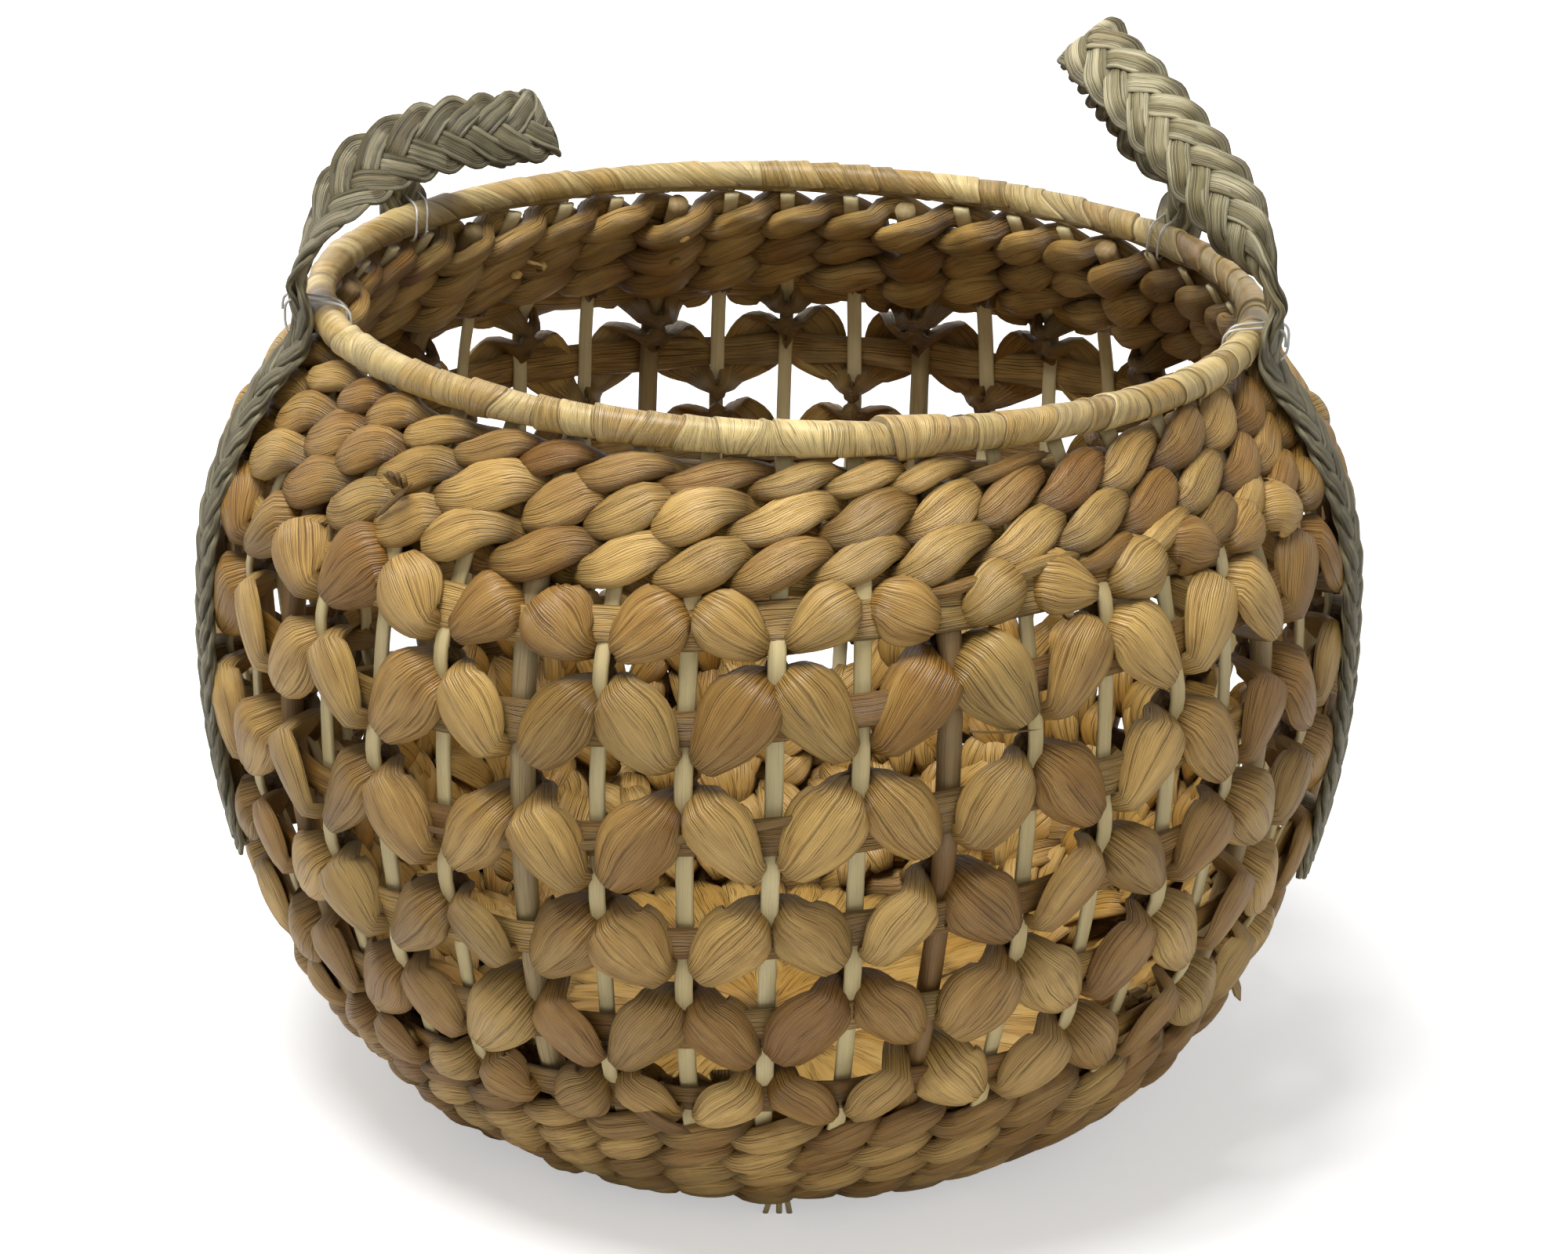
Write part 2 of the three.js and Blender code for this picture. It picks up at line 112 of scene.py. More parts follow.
def smooth_curve(values, at, where):
    """Points of a smooth curve through values, which it passes at the distances in at."""
    values, where = np.asarray(values, float), np.asarray(where, float)
    steps = np.diff(values, axis=0) / np.diff(at)[:, None]
    before, after = np.diff(at)[:-1, None], np.diff(at)[1:, None]
    inner = (steps[:-1] * after + steps[1:] * before) / (before + after)
    slopes = np.vstack([steps[:1], inner, steps[-1:]])
    i = np.clip(np.searchsorted(at, where, side="right") - 1, 0, len(at) - 2)
    span = (at[i + 1] - at[i])[:, None]
    x = (where - at[i])[:, None] / span
    return (
        values[i] * (2 * x**3 - 3 * x**2 + 1)
        + slopes[i] * span * (x**3 - 2 * x**2 + x)
        + values[i + 1] * (3 * x**2 - 2 * x**3)
        + slopes[i + 1] * span * (x**3 - x**2)
    )


def distances(points):
    """How far along a line of points each of them lies."""
    return np.concatenate([[0], np.cumsum(np.linalg.norm(np.diff(points, axis=0), axis=1))])


REACHES = distances(KNOTS)
(_, _, AT_BASE, AT_BEND, AT_FOOT, AT_FLANK, AT_BELLY, AT_BREAST, AT_SHOULDER, AT_NECK) = REACHES
LINE_AT = np.linspace(0, AT_NECK, 600)
LINE = smooth_curve(KNOTS, REACHES, LINE_AT)
LINE_WAY = unit(np.gradient(LINE, LINE_AT, axis=0))


def line_at(reach):
    """Radius, height and outward direction of the wall at a reach."""
    past = np.maximum(reach - AT_NECK, 0)
    radius, height = (
        np.interp(reach, LINE_AT, LINE[:, i]) + past * LINE_WAY[-1, i] for i in range(2)
    )
    way_r, way_z = (np.interp(reach, LINE_AT, LINE_WAY[:, i]) for i in range(2))
    return radius, height, way_z, -way_r


def turn_of(stake):
    """The turn round the basket at a stake."""
    return stake * (TURN / STAKES)


def polar(radius, turn, z):
    """Points, or directions, at a radius, a turn round the basket and a height."""
    return np.stack(np.broadcast_arrays(radius * np.sin(turn), -radius * np.cos(turn), z), -1)


def on_wall(stake, reach, out):
    """Points of the wall, out from the stakes' outer face, and the outward direction there."""
    radius, height, out_r, out_z = line_at(reach)
    turn = turn_of(stake)
    return polar(radius + out * out_r, turn, height + out * out_z), polar(out_r, turn, out_z)


def stakes_round(distance, reach):
    """A distance round the wall, counted in stakes."""
    return distance / np.maximum(line_at(reach)[0], 0.03) * STAKES / TURN


# Values that change along a strand

def per_lobe(values, lobe):
    """Values that belong to whole lobes, run smoothly into each other between them."""
    low = np.floor(lobe).astype(int)
    x = smooth(lobe - low)
    return values[low % len(values)] * (1 - x) + values[(low + 1) % len(values)] * x


def uneven(rng, low, high, lobe):
    """A value drawn for each lobe between two limits."""
    return per_lobe(rng.uniform(low, high, LOBES_DRAWN), lobe)


def astray(rng, spread, lobe):
    """A small error drawn for each lobe."""
    return per_lobe(rng.normal(0, spread, LOBES_DRAWN), lobe)


def wavering(rng, spread, bends, reach):
    """A small error drawn for some places between the base and the neck."""
    return np.interp(reach, np.linspace(0, AT_NECK, bends), rng.normal(0, spread, bends))


def pleats(rng, angle, lobe, count, width=0.2):
    """How deep each point lies in the lengthwise pleats, from 0 to 1, changing along the strand."""
    total = np.zeros((len(lobe), len(angle)))
    for i in range(count):
        middle = (i + rng.uniform(0.25, 0.75)) * TURN / count
        at = middle + astray(rng, 0.12, lobe)
        depth = uneven(rng, -0.3, 1.0, lobe)
        away = (angle - at[:, None] + math.pi) % TURN - math.pi
        total += np.clip(depth, 0, 1)[:, None] * np.exp(-((away / width) ** 2))
    return np.clip(total, 0, 1)


# Strands as rings of points

def around(sides, shift=0.0):
    """The angles of the points round a strand."""
    return (np.arange(sides) + shift) * TURN / sides


def frames_along(points, away):
    """The directions across and out of a strand at each of its points."""
    along = unit(np.gradient(points, axis=0))
    across = unit(np.cross(away, along))
    return across, unit(np.cross(along, across))


def strand(points, away, wide, thick, roll=0.0, grain_w=0.0055, tint=0.5, pinch=0.0, painted_shade=0.0):
    """One strand: rings with offsets wide across it and thick out of it, and its grain, tint, pinch
    and painted shade.
    """
    across, face = frames_along(points, away)
    cos, sin = np.cos(roll)[..., None], np.sin(roll)[..., None]
    across, face = across * cos + face * sin, face * cos - across * sin
    wide, thick = np.broadcast_arrays(wide, thick)
    rings = points[:, None] + wide[..., None] * across[:, None] + thick[..., None] * face[:, None]
    angle = around(wide.shape[1])
    grain, marks = np.empty_like(rings), np.empty_like(rings)
    grain[..., 0] = distances(points)[:, None]
    grain[..., 1] = grain_w * np.minimum(angle, TURN - angle)
    grain[..., 2] = np.sum(points[0]) * 7
    # The third mark is painted shade: it darkens the colour where the strand lies in shade.
    for i, mark in enumerate((tint, pinch, painted_shade)):
        marks[..., i] = mark if np.ndim(mark) != 1 else mark[:, None]
    return {"rings": rings, "grain": grain, "marks": marks}


def woven_mesh(name, strands, closed):
    """One mesh of many strands, each capped at its ends or closed in a ring, with its grain and its
    tint, pinch and painted shade.
    """
    quads, caps = [], []
    start = 0
    for piece in strands:
        count, sides = piece["rings"].shape[:2]
        ring = np.arange(count if closed else count - 1)[:, None]
        here, there = start + ring * sides, start + (ring + 1) % count * sides
        j = np.arange(sides)
        k = (j + 1) % sides
        corners = [here + j, here + k, there + k, there + j]
        if closed:
            corners = [corners[i] for i in (0, 3, 2, 1)]
        else:
            caps += [j[::-1] + start, j + start + (count - 1) * sides]
        quads.append(np.stack(corners, -1).reshape(-1, 4))
        start += count * sides
    quads = np.concatenate(quads)
    corners = np.concatenate([quads.ravel(), *caps])
    sizes = [4] * len(quads) + [len(cap) for cap in caps]
    mesh = bpy.data.meshes.new(name)
    mesh.vertices.add(start)
    mesh.loops.add(len(corners))
    mesh.loops.foreach_set("vertex_index", corners.astype(np.int32))
    mesh.polygons.add(len(sizes))
    mesh.polygons.foreach_set("loop_start", np.cumsum([0] + sizes[:-1]).astype(np.int32))
    mesh.polygons.foreach_set("use_smooth", np.ones(len(sizes), bool))
    for key in ("rings", "grain", "marks"):
        values = np.concatenate([piece[key].ravel() for piece in strands]).astype(np.float32)
        if key == "rings":
            mesh.vertices.foreach_set("co", values)
        else:
            stored = mesh.attributes.new(key, "FLOAT_VECTOR", "POINT")
            stored.data.foreach_set("vector", values)
    mesh.update(calc_edges=True)
    if mesh.validate():
        raise RuntimeError(f"{name} had faulty faces")
    return mesh


def linked(name, data):
    """A new object in the scene."""
    made = bpy.data.objects.new(name, data)
    bpy.context.scene.collection.objects.link(made)
    return made


def weave(name, strands, finish, nodes=(), body="basket", closed=False):
    """A piece made of strands, with its finish and body, for the CAD nodes that it stands for."""
    piece = linked(name, woven_mesh(name, strands, closed))
    piece.data.materials.append(finish_of(finish))
    if nodes:
        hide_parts(*nodes)
    if body:
        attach(piece, body)
    return piece


def node_names(*starts):
    """The CAD nodes whose names begin so."""
    return sorted(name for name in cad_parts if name.startswith(starts))


# Materials

class Wiring:
    """Short ways to add nodes to a shader tree and to join them."""

    def __init__(self, tree):
        self.tree = tree

    def join(self, value, socket):
        """Links an output to an input, or gives the input a fixed value."""
        if isinstance(value, bpy.types.NodeSocket):
            self.tree.links.new(value, socket)
        else:
            socket.default_value = value

    def fill(self, node, **values):
        """Gives a node its own settings, and values to its inputs, with _ for a space."""
        for key, value in values.items():
            if hasattr(node, key):
                setattr(node, key, value)
            else:
                self.join(value, node.inputs[key.replace("_", " ")])
        return node.outputs

    def node(self, kind, **values):
        """The outputs of a new node."""
        return self.fill(self.tree.nodes.new(kind), **values)

    def math(self, operation, *values):
        """The result of a math node on sockets or numbers."""
        node = self.tree.nodes.new("ShaderNodeMath")
        for value, socket in zip(values, node.inputs):
            self.join(value, socket)
        return self.fill(node, operation=operation)[0]

    def times(self, first, second):
        """One value times another."""
        return self.math("MULTIPLY", first, second)

    def plus(self, *values):
        """The sum of some values."""
        total = values[0]
        for value in values[1:]:
            total = self.math("ADD", total, value)
        return total

    def ramp(self, source, low, high, to_low=0.0, to_high=1.0):
        """Maps a value from one range to another, smoothly and within its ends."""
        ends = {"From_Min": low, "From_Max": high, "To_Min": to_low, "To_Max": to_high}
        return self.node("ShaderNodeMapRange", interpolation_type="SMOOTHSTEP", Value=source,
                         **ends)["Result"]

    def mix(self, amount, first, second):
        """A mix of two colours, each a socket or stored numbers."""
        node = self.tree.nodes.new("ShaderNodeMix")
        node.data_type = "RGBA"
        self.join(amount, node.inputs[0])
        for value, socket in ((first, node.inputs[6]), (second, node.inputs[7])):
            fixed = not isinstance(value, bpy.types.NodeSocket)
            self.join((*value[:3], 1.0) if fixed else value, socket)
        return node.outputs[2]

    def group(self, name, **values):
        """The outputs of a node group, which is made the first time that it is asked for."""
        tree = bpy.data.node_groups.get(name) or GROUPS[name](name)
        return self.node("ShaderNodeGroup", node_tree=tree, **values)


def new_group(name, inputs, outputs):
    """The wiring of an empty node group, with what it is given and what it puts out."""
    tree = bpy.data.node_groups.new(name, "ShaderNodeTree")
    for label, value in inputs.items():
        kind = "NodeSocketVector" if value is None else "NodeSocketFloat"
        socket = tree.interface.new_socket(label, in_out="INPUT", socket_type=kind)
        if value is not None:
            socket.default_value = value
    for label in outputs:
        tree.interface.new_socket(label, in_out="OUTPUT", socket_type="NodeSocketFloat")
    given = tree.nodes.new("NodeGroupInput").outputs
    return Wiring(tree), given, tree.nodes.new("NodeGroupOutput")


def fibre_group(name):
    """Creases that run along a strand and gather at its pinches, fine hairs and slow streaks."""
    inputs = {"Grain": None, "Pinch": 0.0, "Spacing": 0.0014, "Length": 0.02}
    wires, given, out = new_group(name, inputs, ("Lines", "Hairs", "Streaks"))
    along, across, leaf = wires.node("ShaderNodeSeparateXYZ", Vector=given["Grain"])

    def stretched(length, spacing, detail):
        """A noise that is drawn out along the strand."""
        x, y = wires.math("DIVIDE", along, length), wires.math("DIVIDE", across, spacing)
        place = wires.node("ShaderNodeCombineXYZ", X=x, Y=y, Z=leaf)[0]
        return wires.node("ShaderNodeTexNoise", Scale=1.0, Detail=detail, Roughness=0.6,
                          Vector=place)["Fac"]

    sway = wires.times(stretched(given["Length"], 0.006, 1.0), 1.6)
    place = wires.plus(wires.math("DIVIDE", across, given["Spacing"]), sway, wires.times(leaf, 11.0))
    wide, narrow = (
        wires.ramp(
            wires.node("ShaderNodeTexVoronoi", voronoi_dimensions="1D", feature="DISTANCE_TO_EDGE",
                       Scale=scale, W=place)["Distance"],
            0.0, 0.12 * scale, 1.0, 0.0,
        )
        for scale in (1.0, 2.6)
    )
    keep = wires.plus(stretched(given["Length"], 0.0016, 2.0), wires.times(given["Pinch"], 0.4))
    strong = wires.times(wide, wires.ramp(keep, 0.42, 0.64))
    fine = wires.times(narrow, wires.ramp(keep, 0.25, 0.75, 0.12, 0.5))
    wires.fill(out, Lines=wires.math("MAXIMUM", strong, fine), Hairs=stretched(0.012, 0.00042, 3.0),
               Streaks=stretched(0.03, 0.0045, 2.0))
    return wires.tree


def stain_group(name):
    """Brown and green places: whole leaves by their tint, and patches that spread over leaves."""
    wires, given, out = new_group(name, {"Tint": 0.5, "Scale": 14.0}, ("Brown", "Green", "Patches"))
    place = wires.node("ShaderNodeTexCoord")["Object"]

    def patches(scale, detail, seed):
        """A cloudy noise over the whole basket."""
        size = wires.times(given["Scale"], scale)
        return wires.node("ShaderNodeTexNoise", noise_dimensions="4D", Detail=detail, W=seed,
                          Vector=place, Scale=size)["Fac"]

    def leaves(times, low, high):
        """Some of the leaves, picked by their tint."""
        return wires.ramp(wires.math("PINGPONG", wires.times(given["Tint"], times), 1.0), low, high)

    small = wires.ramp(patches(4.0, 4.0, 1.0), 0.56, 0.72)
    wide = wires.ramp(patches(0.9, 2.0, 5.0), 0.42, 0.66)
    brown = wires.times(leaves(3.0, 0.5, 0.95), wires.plus(wide, 0.4))
    wires.fill(out, Brown=wires.math("MAXIMUM", brown, wires.times(small, 0.75)),
               Green=wires.times(leaves(5.0, 0.5, 0.9), patches(1.2, 2.0, 9.0)),
               Patches=patches(2.2, 3.0, 13.0))
    return wires.tree


GROUPS = {"Fibre lines": fibre_group, "Stains": stain_group}


def new_material(name):
    """A new material with its wiring and its surface shader."""
    made = bpy.data.materials.new(name)
    made.use_nodes = True
    return made, Wiring(made.node_tree), made.node_tree.nodes["Principled BSDF"]


def fibre_material(name, light, middle, dark, length=0.02, spacing=0.0014, stain=0.55, green=0.5,
                   rough=0.42, line_depth=0.95, bump=0.9, coat=0.0):
    """Dried leaf or stem: fine creases along the strand, streaks and stains, and painted shade in the
    folds and where a strand goes under its neighbours.
    """
    made, wires, shader = new_material(name)
    tones = bpy.context.scene.basket_colours
    light, middle, dark = (getattr(tones, tone) for tone in (light, middle, dark))
    grain, marks = (
        wires.node("ShaderNodeAttribute", attribute_name=key)["Vector"] for key in ("grain", "marks")
    )
    tint, pinch, painted_shade = wires.node("ShaderNodeSeparateXYZ", Vector=marks)
    fibres = wires.group("Fibre lines", Grain=grain, Pinch=pinch, Spacing=spacing, Length=length)
    stains = wires.group("Stains", Tint=tint)
    tone = wires.plus(wires.times(fibres["Streaks"], 0.8), wires.times(fibres["Hairs"], 0.5),
                      wires.times(tint, 0.6), wires.times(stains["Patches"], 0.5))
    colour = wires.mix(wires.ramp(tone, 0.75, 1.75), middle, light)
    for mask, amount, over in (
        (stains["Green"], green, tones.green),
        (stains["Brown"], stain, tones.stain),
        # Painted shade: browner towards the pinches, where the strand is drawn in under its
        # neighbours.
        (pinch, 0.25, tones.stain),
        (fibres["Lines"], line_depth, dark),
        # Painted shade: a deep brown where the strand lies in a fold or under its neighbours.
        (painted_shade, 0.85, [0.4 * c for c in dark]),
    ):
        colour = wires.mix(wires.times(mask, amount), colour, over)
    gloss = wires.plus(wires.times(fibres["Hairs"], 0.3), rough - 0.15)
    height = wires.math("SUBTRACT", wires.times(fibres["Hairs"], 0.55), fibres["Lines"])
    lift = wires.node("ShaderNodeBump", Strength=bump, Distance=0.0006, Height=height)["Normal"]
    wires.fill(shader, Base_Color=colour, Roughness=gloss, Normal=lift, Specular_IOR_Level=0.45,
               Coat_Weight=coat, Coat_Roughness=0.35)
    return made


def thread_material(name, light):
    """Clear thread, satin and faintly see-through."""
    made, wires, shader = new_material(name)
    thread = getattr(bpy.context.scene.basket_colours, light)
    place = wires.node("ShaderNodeTexCoord")["Object"]
    cloud = wires.node("ShaderNodeTexNoise", Scale=260.0, Detail=2.0, Vector=place)["Fac"]
    colour = wires.mix(cloud, thread, [0.8 * c for c in thread])
    wires.fill(shader, Base_Color=colour, Roughness=0.25, Transmission_Weight=0.35)
    return made


# Each finish: how it is made, its colours, and its other values
FINISHES = {
    "Hyacinth leaf": (fibre_material, ("straw", "leaf", "crease"), {"line_depth": 0.68}),
    "Petal leaf": (fibre_material, ("pale_straw", "petal", "crease"),
                   {"length": 0.024, "spacing": 0.0015, "stain": 0.52, "line_depth": 0.62}),
    "Core leaf": (fibre_material, ("straw", "leaf", "crease"),
                  {"spacing": 0.0013, "stain": 0.65, "green": 0.7}),
    "Floor leaf": (fibre_material, ("pale_straw", "floor", "crease"),
                   {"stain": 0.35, "green": 0.15}),
    "Rim leaf": (fibre_material, ("rim_light", "rim", "crease"),
                 {"length": 0.012, "spacing": 0.0011, "stain": 0.45, "green": 0.35, "rough": 0.38,
                  "line_depth": 0.55, "coat": 0.3}),
    "Split reed": (fibre_material, ("reed_light", "reed", "reed_line"),
                   {"length": 0.06, "spacing": 0.0013, "stain": 0.15, "green": 0.05, "rough": 0.5,
                    "line_depth": 0.35, "bump": 0.3}),
    "Round cane": (fibre_material, ("cane_light", "cane", "crease"),
                   {"length": 0.04, "spacing": 0.0012, "rough": 0.5, "line_depth": 0.6,
                    "bump": 0.4}),
    "Sea grass": (fibre_material, ("grass_light", "grass", "grass_line"),
                  {"length": 0.04, "spacing": 0.0011, "stain": 0.2, "green": 0.1, "rough": 0.52,
                   "bump": 1.0}),
    "Clear thread": (thread_material, ("thread",), {}),
}


def finish_of(name):
    """A finish by name, made the first time that a piece needs it."""
    found = bpy.data.materials.get(name)
    if found:
        return found
    maker, tones, values = FINISHES[name]
    return maker(name, *tones, **values)


# Twined rows

def depth_behind(stake):
    """How thick the stakes are that a strand passes behind."""
    thick = np.where(np.isin(np.arange(STAKES), CANE_PLACES), CANE_D, REED_T)
    return per_lobe(thick, stake)


def twined_pair(rng, first, last, row, sizes, lobes_per_stake=1.0, rings=None):
    """Two strands twined round the stakes: by turns one is outside a stake and one inside."""
    steps = rings or int(round((last - first) * sizes.rings))
    stake = np.linspace(first, last, steps + 1)
    angle = around(sizes.sides)
    centre, tall = row(stake)
    lobe = stake * lobes_per_stake
    lobe = lobe + astray(rng, 0.1, lobe)
    made = []
    for turn in (0.0, 1.0):
        swing = math.pi * (lobe + turn)
        facing = np.abs(np.cos(swing))
        full = uneven(rng, 0.86, 1.1, lobe)
        fat = uneven(rng, 0.85, 1.2, lobe)
        stray = astray(rng, 0.0008, lobe)
        rise = sizes.lay * tall * np.sin(swing)
        deep = sizes.thick * (0.52 - 0.12 * facing) * fat
        outer, inner = 0.9 * deep, -depth_behind(stake) - 0.9 * deep
        depth = (outer + inner) / 2 + (outer - inner) / 2 * squared(np.cos(swing), 0.55)
        points, away = on_wall(stake, centre + rise + stray, depth)
        half = tall * (0.3 + 0.23 * facing) * full
        fold = pleats(rng, angle, lobe, 11, 0.14)
        wide = half[:, None] * np.cos(angle) * (1 - 0.05 * fold)
        thick = deep[:, None] * squared(np.sin(angle), 0.8) * (1 - 0.16 * fold)
        tint = uneven(rng, 0, 1, (lobe + turn) / 2)
        # At the crossings, where a strand turns in behind a stake, it is painted browner and darker:
        # painted shade.
        pinch = np.clip(0.9 - facing * 1.1, 0, 1)
        painted_shade = 0.7 * np.clip(1 - facing * 2.2, 0, 1) ** 1.5
        made.append(strand(points, away, wide, thick, tint=tint, pinch=pinch, painted_shade=painted_shade))
    return made


def climb(stake):
    """How far the openwork rows climb to the right over the front and sink again over the back."""
    turn = turn_of(stake)
    return bpy.context.scene.basket_openwork.climb * np.sin(turn + 0.7 * np.sin(turn))


# Edges of the openwork rows, from the foot to the shoulder: level reach, share of the climb, shift
OPEN_EDGES = (
    (AT_FOOT, 0.3, -0.004),
    (AT_FOOT + 0.37 * (AT_FLANK - AT_FOOT), 1.0, 0.0),
    (AT_FLANK, 1.1, -0.003),
    (AT_FLANK + 0.45 * (AT_BELLY - AT_FLANK), 1.05, 0.0),
    (AT_BELLY, 1.0, 0.0),
    (AT_BREAST, 1.0, 0.0),
    (AT_SHOULDER, 0.25, 0.0),
)
OPEN_COUNT = len(OPEN_EDGES) - 1


def level(reach):
    """An edge that stays at one reach all the way round."""
    return lambda stake: reach


def open_edge(index):
    """One edge of the openwork rows."""
    reach, share, shift = OPEN_EDGES[index]
    return lambda stake: reach + shift + share * climb(stake)


def row_between(low, high):
    """The middle and height of a row between two edges."""
    return lambda stake: ((low(stake) + high(stake)) / 2, high(stake) - low(stake))


def open_row(row, stake):
    """The middle and height of an openwork row."""
    return row_between(open_edge(row), open_edge(row + 1))(stake)


# How far a closed row is laid over its own start, in stakes
ROW_LAP = 0.2


class BASKET_OT_lower_rows(bpy.types.Operator):
    """Twine the close rows that turn from the base up into the wall"""

    bl_idname = "basket.lower_rows"
    bl_label = "Lower rows"

    def execute(self, context):
        rng = np.random.default_rng(SEED)
        edges = [level(reach) for reach in np.linspace(AT_BASE, AT_BEND, 4)]
        edges += [level((AT_BEND + AT_FOOT - 0.003) / 2), open_edge(0)]
        strands = []
        for low, high in zip(edges[:-1], edges[1:]):
            first = rng.uniform(0, STAKES)
            strands += twined_pair(rng, first, first + STAKES + ROW_LAP, row_between(low, high),
                                   context.scene.basket_twining)
        weave("lower_twining", strands, "Hyacinth leaf",
              node_names("lower_rope", "lower_back"))
        return {"FINISHED"}


# Edges of the spiral row above the shoulder, turn by turn, at shares of a turn from its start
BAND_START = 1.6
BAND_TURNS = 3.05
BAND_AT = (0.0, 0.1, 0.5, 1.0)
BAND_EDGES = (
    (-0.002, -0.006, -0.004, 0.0),
    (0.0, 0.008, 0.011, 0.0155),
    (0.0155, 0.024, 0.027, 0.031),
    (0.031, 0.041, 0.041, 0.041),
    (0.041, 0.041, 0.041, 0.041),
)
BAND_TOP = BAND_EDGES[-1][0]
BAND_LEAST = 0.005


def band_row(stake):
    """The middle and height of the spiral row above the shoulder."""
    turns = np.clip((stake - BAND_START) / STAKES, 0, BAND_TURNS)
    row = np.minimum(np.floor(turns).astype(int), len(BAND_EDGES) - 2)
    edges = [np.interp(turns - row, BAND_AT, edge) for edge in BAND_EDGES]
    lift = open_edge(OPEN_COUNT)(stake) - AT_SHOULDER
    low, high = (
        edge + lift * (1 - edge / BAND_TOP)
        for edge in (np.choose(row, edges[:-1]), np.choose(row, edges[1:]))
    )
    return AT_SHOULDER + (low + high) / 2, np.maximum(high - low, BAND_LEAST)


class BASKET_OT_upper_rows(bpy.types.Operator):
    """Twine the close rows of the neck, one pair of strands in a spiral"""

    bl_idname = "basket.upper_rows"
    bl_label = "Upper rows"

    def execute(self, context):
        rng = np.random.default_rng(SEED + 1)
        last = BAND_START + BAND_TURNS * STAKES
        strands = twined_pair(rng, BAND_START, last, band_row, context.scene.basket_twining)
        weave("upper_twining", strands, "Hyacinth leaf",
              node_names("upper_rope", "upper_back"))
        return {"FINISHED"}


# Openwork rows

RIBBON_SIDES = 14
RIBBON_SEAT = 0.0018
RIBBON_HALF = 0.0014


def ribbon_strand(rng, row, sizes):
    """The flat core strand of one openwork row."""
    first = rng.uniform(0, STAKES)
    stake = np.linspace(first, first + STAKES + 0.5, STAKES * 6)
    angle = around(RIBBON_SIDES)
    sag = 0.0006 * (1 - np.cos(TURN * stake)) / 2
    wander = astray(rng, 0.0009, stake)
    end_lift = 0.0022 * np.clip((stake - first - STAKES + 0.6) / 0.5, 0, 1)
    middle, _ = open_row(row, stake)
    points, away = on_wall(stake, middle + wander, RIBBON_SEAT - sag + end_lift)
    half = sizes.ribbon / 2 * uneven(rng, 0.9, 1.28, stake)
    deep = RIBBON_HALF * uneven(rng, 0.85, 1.2, stake)
    fold = pleats(rng, angle, stake, 8, 0.22)
    wide = half[:, None] * np.cos(angle)
    thick = deep[:, None] * squared(np.sin(angle), 0.7) * (1 - 0.5 * fold)
    tint = uneven(rng, 0, 1, stake / 5)
    # Painted shade between the stakes, where the petals lie over the core strand.
    painted_shade = 0.3 * (1 - np.abs(np.cos(math.pi * stake))) ** 2
    return strand(points, away, wide, thick, tint=tint, pinch=0.25, painted_shade=painted_shade)


class BASKET_OT_ribbons(bpy.types.Operator):
    """Lay the flat core strands round the outside of the stakes"""

    bl_idname = "basket.ribbons"
    bl_label = "Core strands"

    def execute(self, context):
        rng = np.random.default_rng(SEED + 2)
        for row in range(OPEN_COUNT):
            core = ribbon_strand(rng, row, context.scene.basket_openwork)
            weave(f"core_strand_{row + 1}", [core], "Core leaf",
                  [f"openwork_ribbon_{row + 1}"])
        return {"FINISHED"}


# Rings of a petal, at shares of the way from one stake to the next
PETAL_SHARES = np.array([
    0.0, 0.035, 0.07, 0.105, 0.14, 0.18, 0.225, 0.28, 0.35, 0.42, 0.5, 0.58, 0.65, 0.72, 0.775,
    0.82, 0.86, 0.895, 0.93, 0.965,
])
PETAL_LAP = 0.12
PETAL_SEAT = 0.0052
PINCHED_HALF = 0.0026
PINCHED_BEHIND = 0.0028
PLEAT_DEPTH = 0.0009


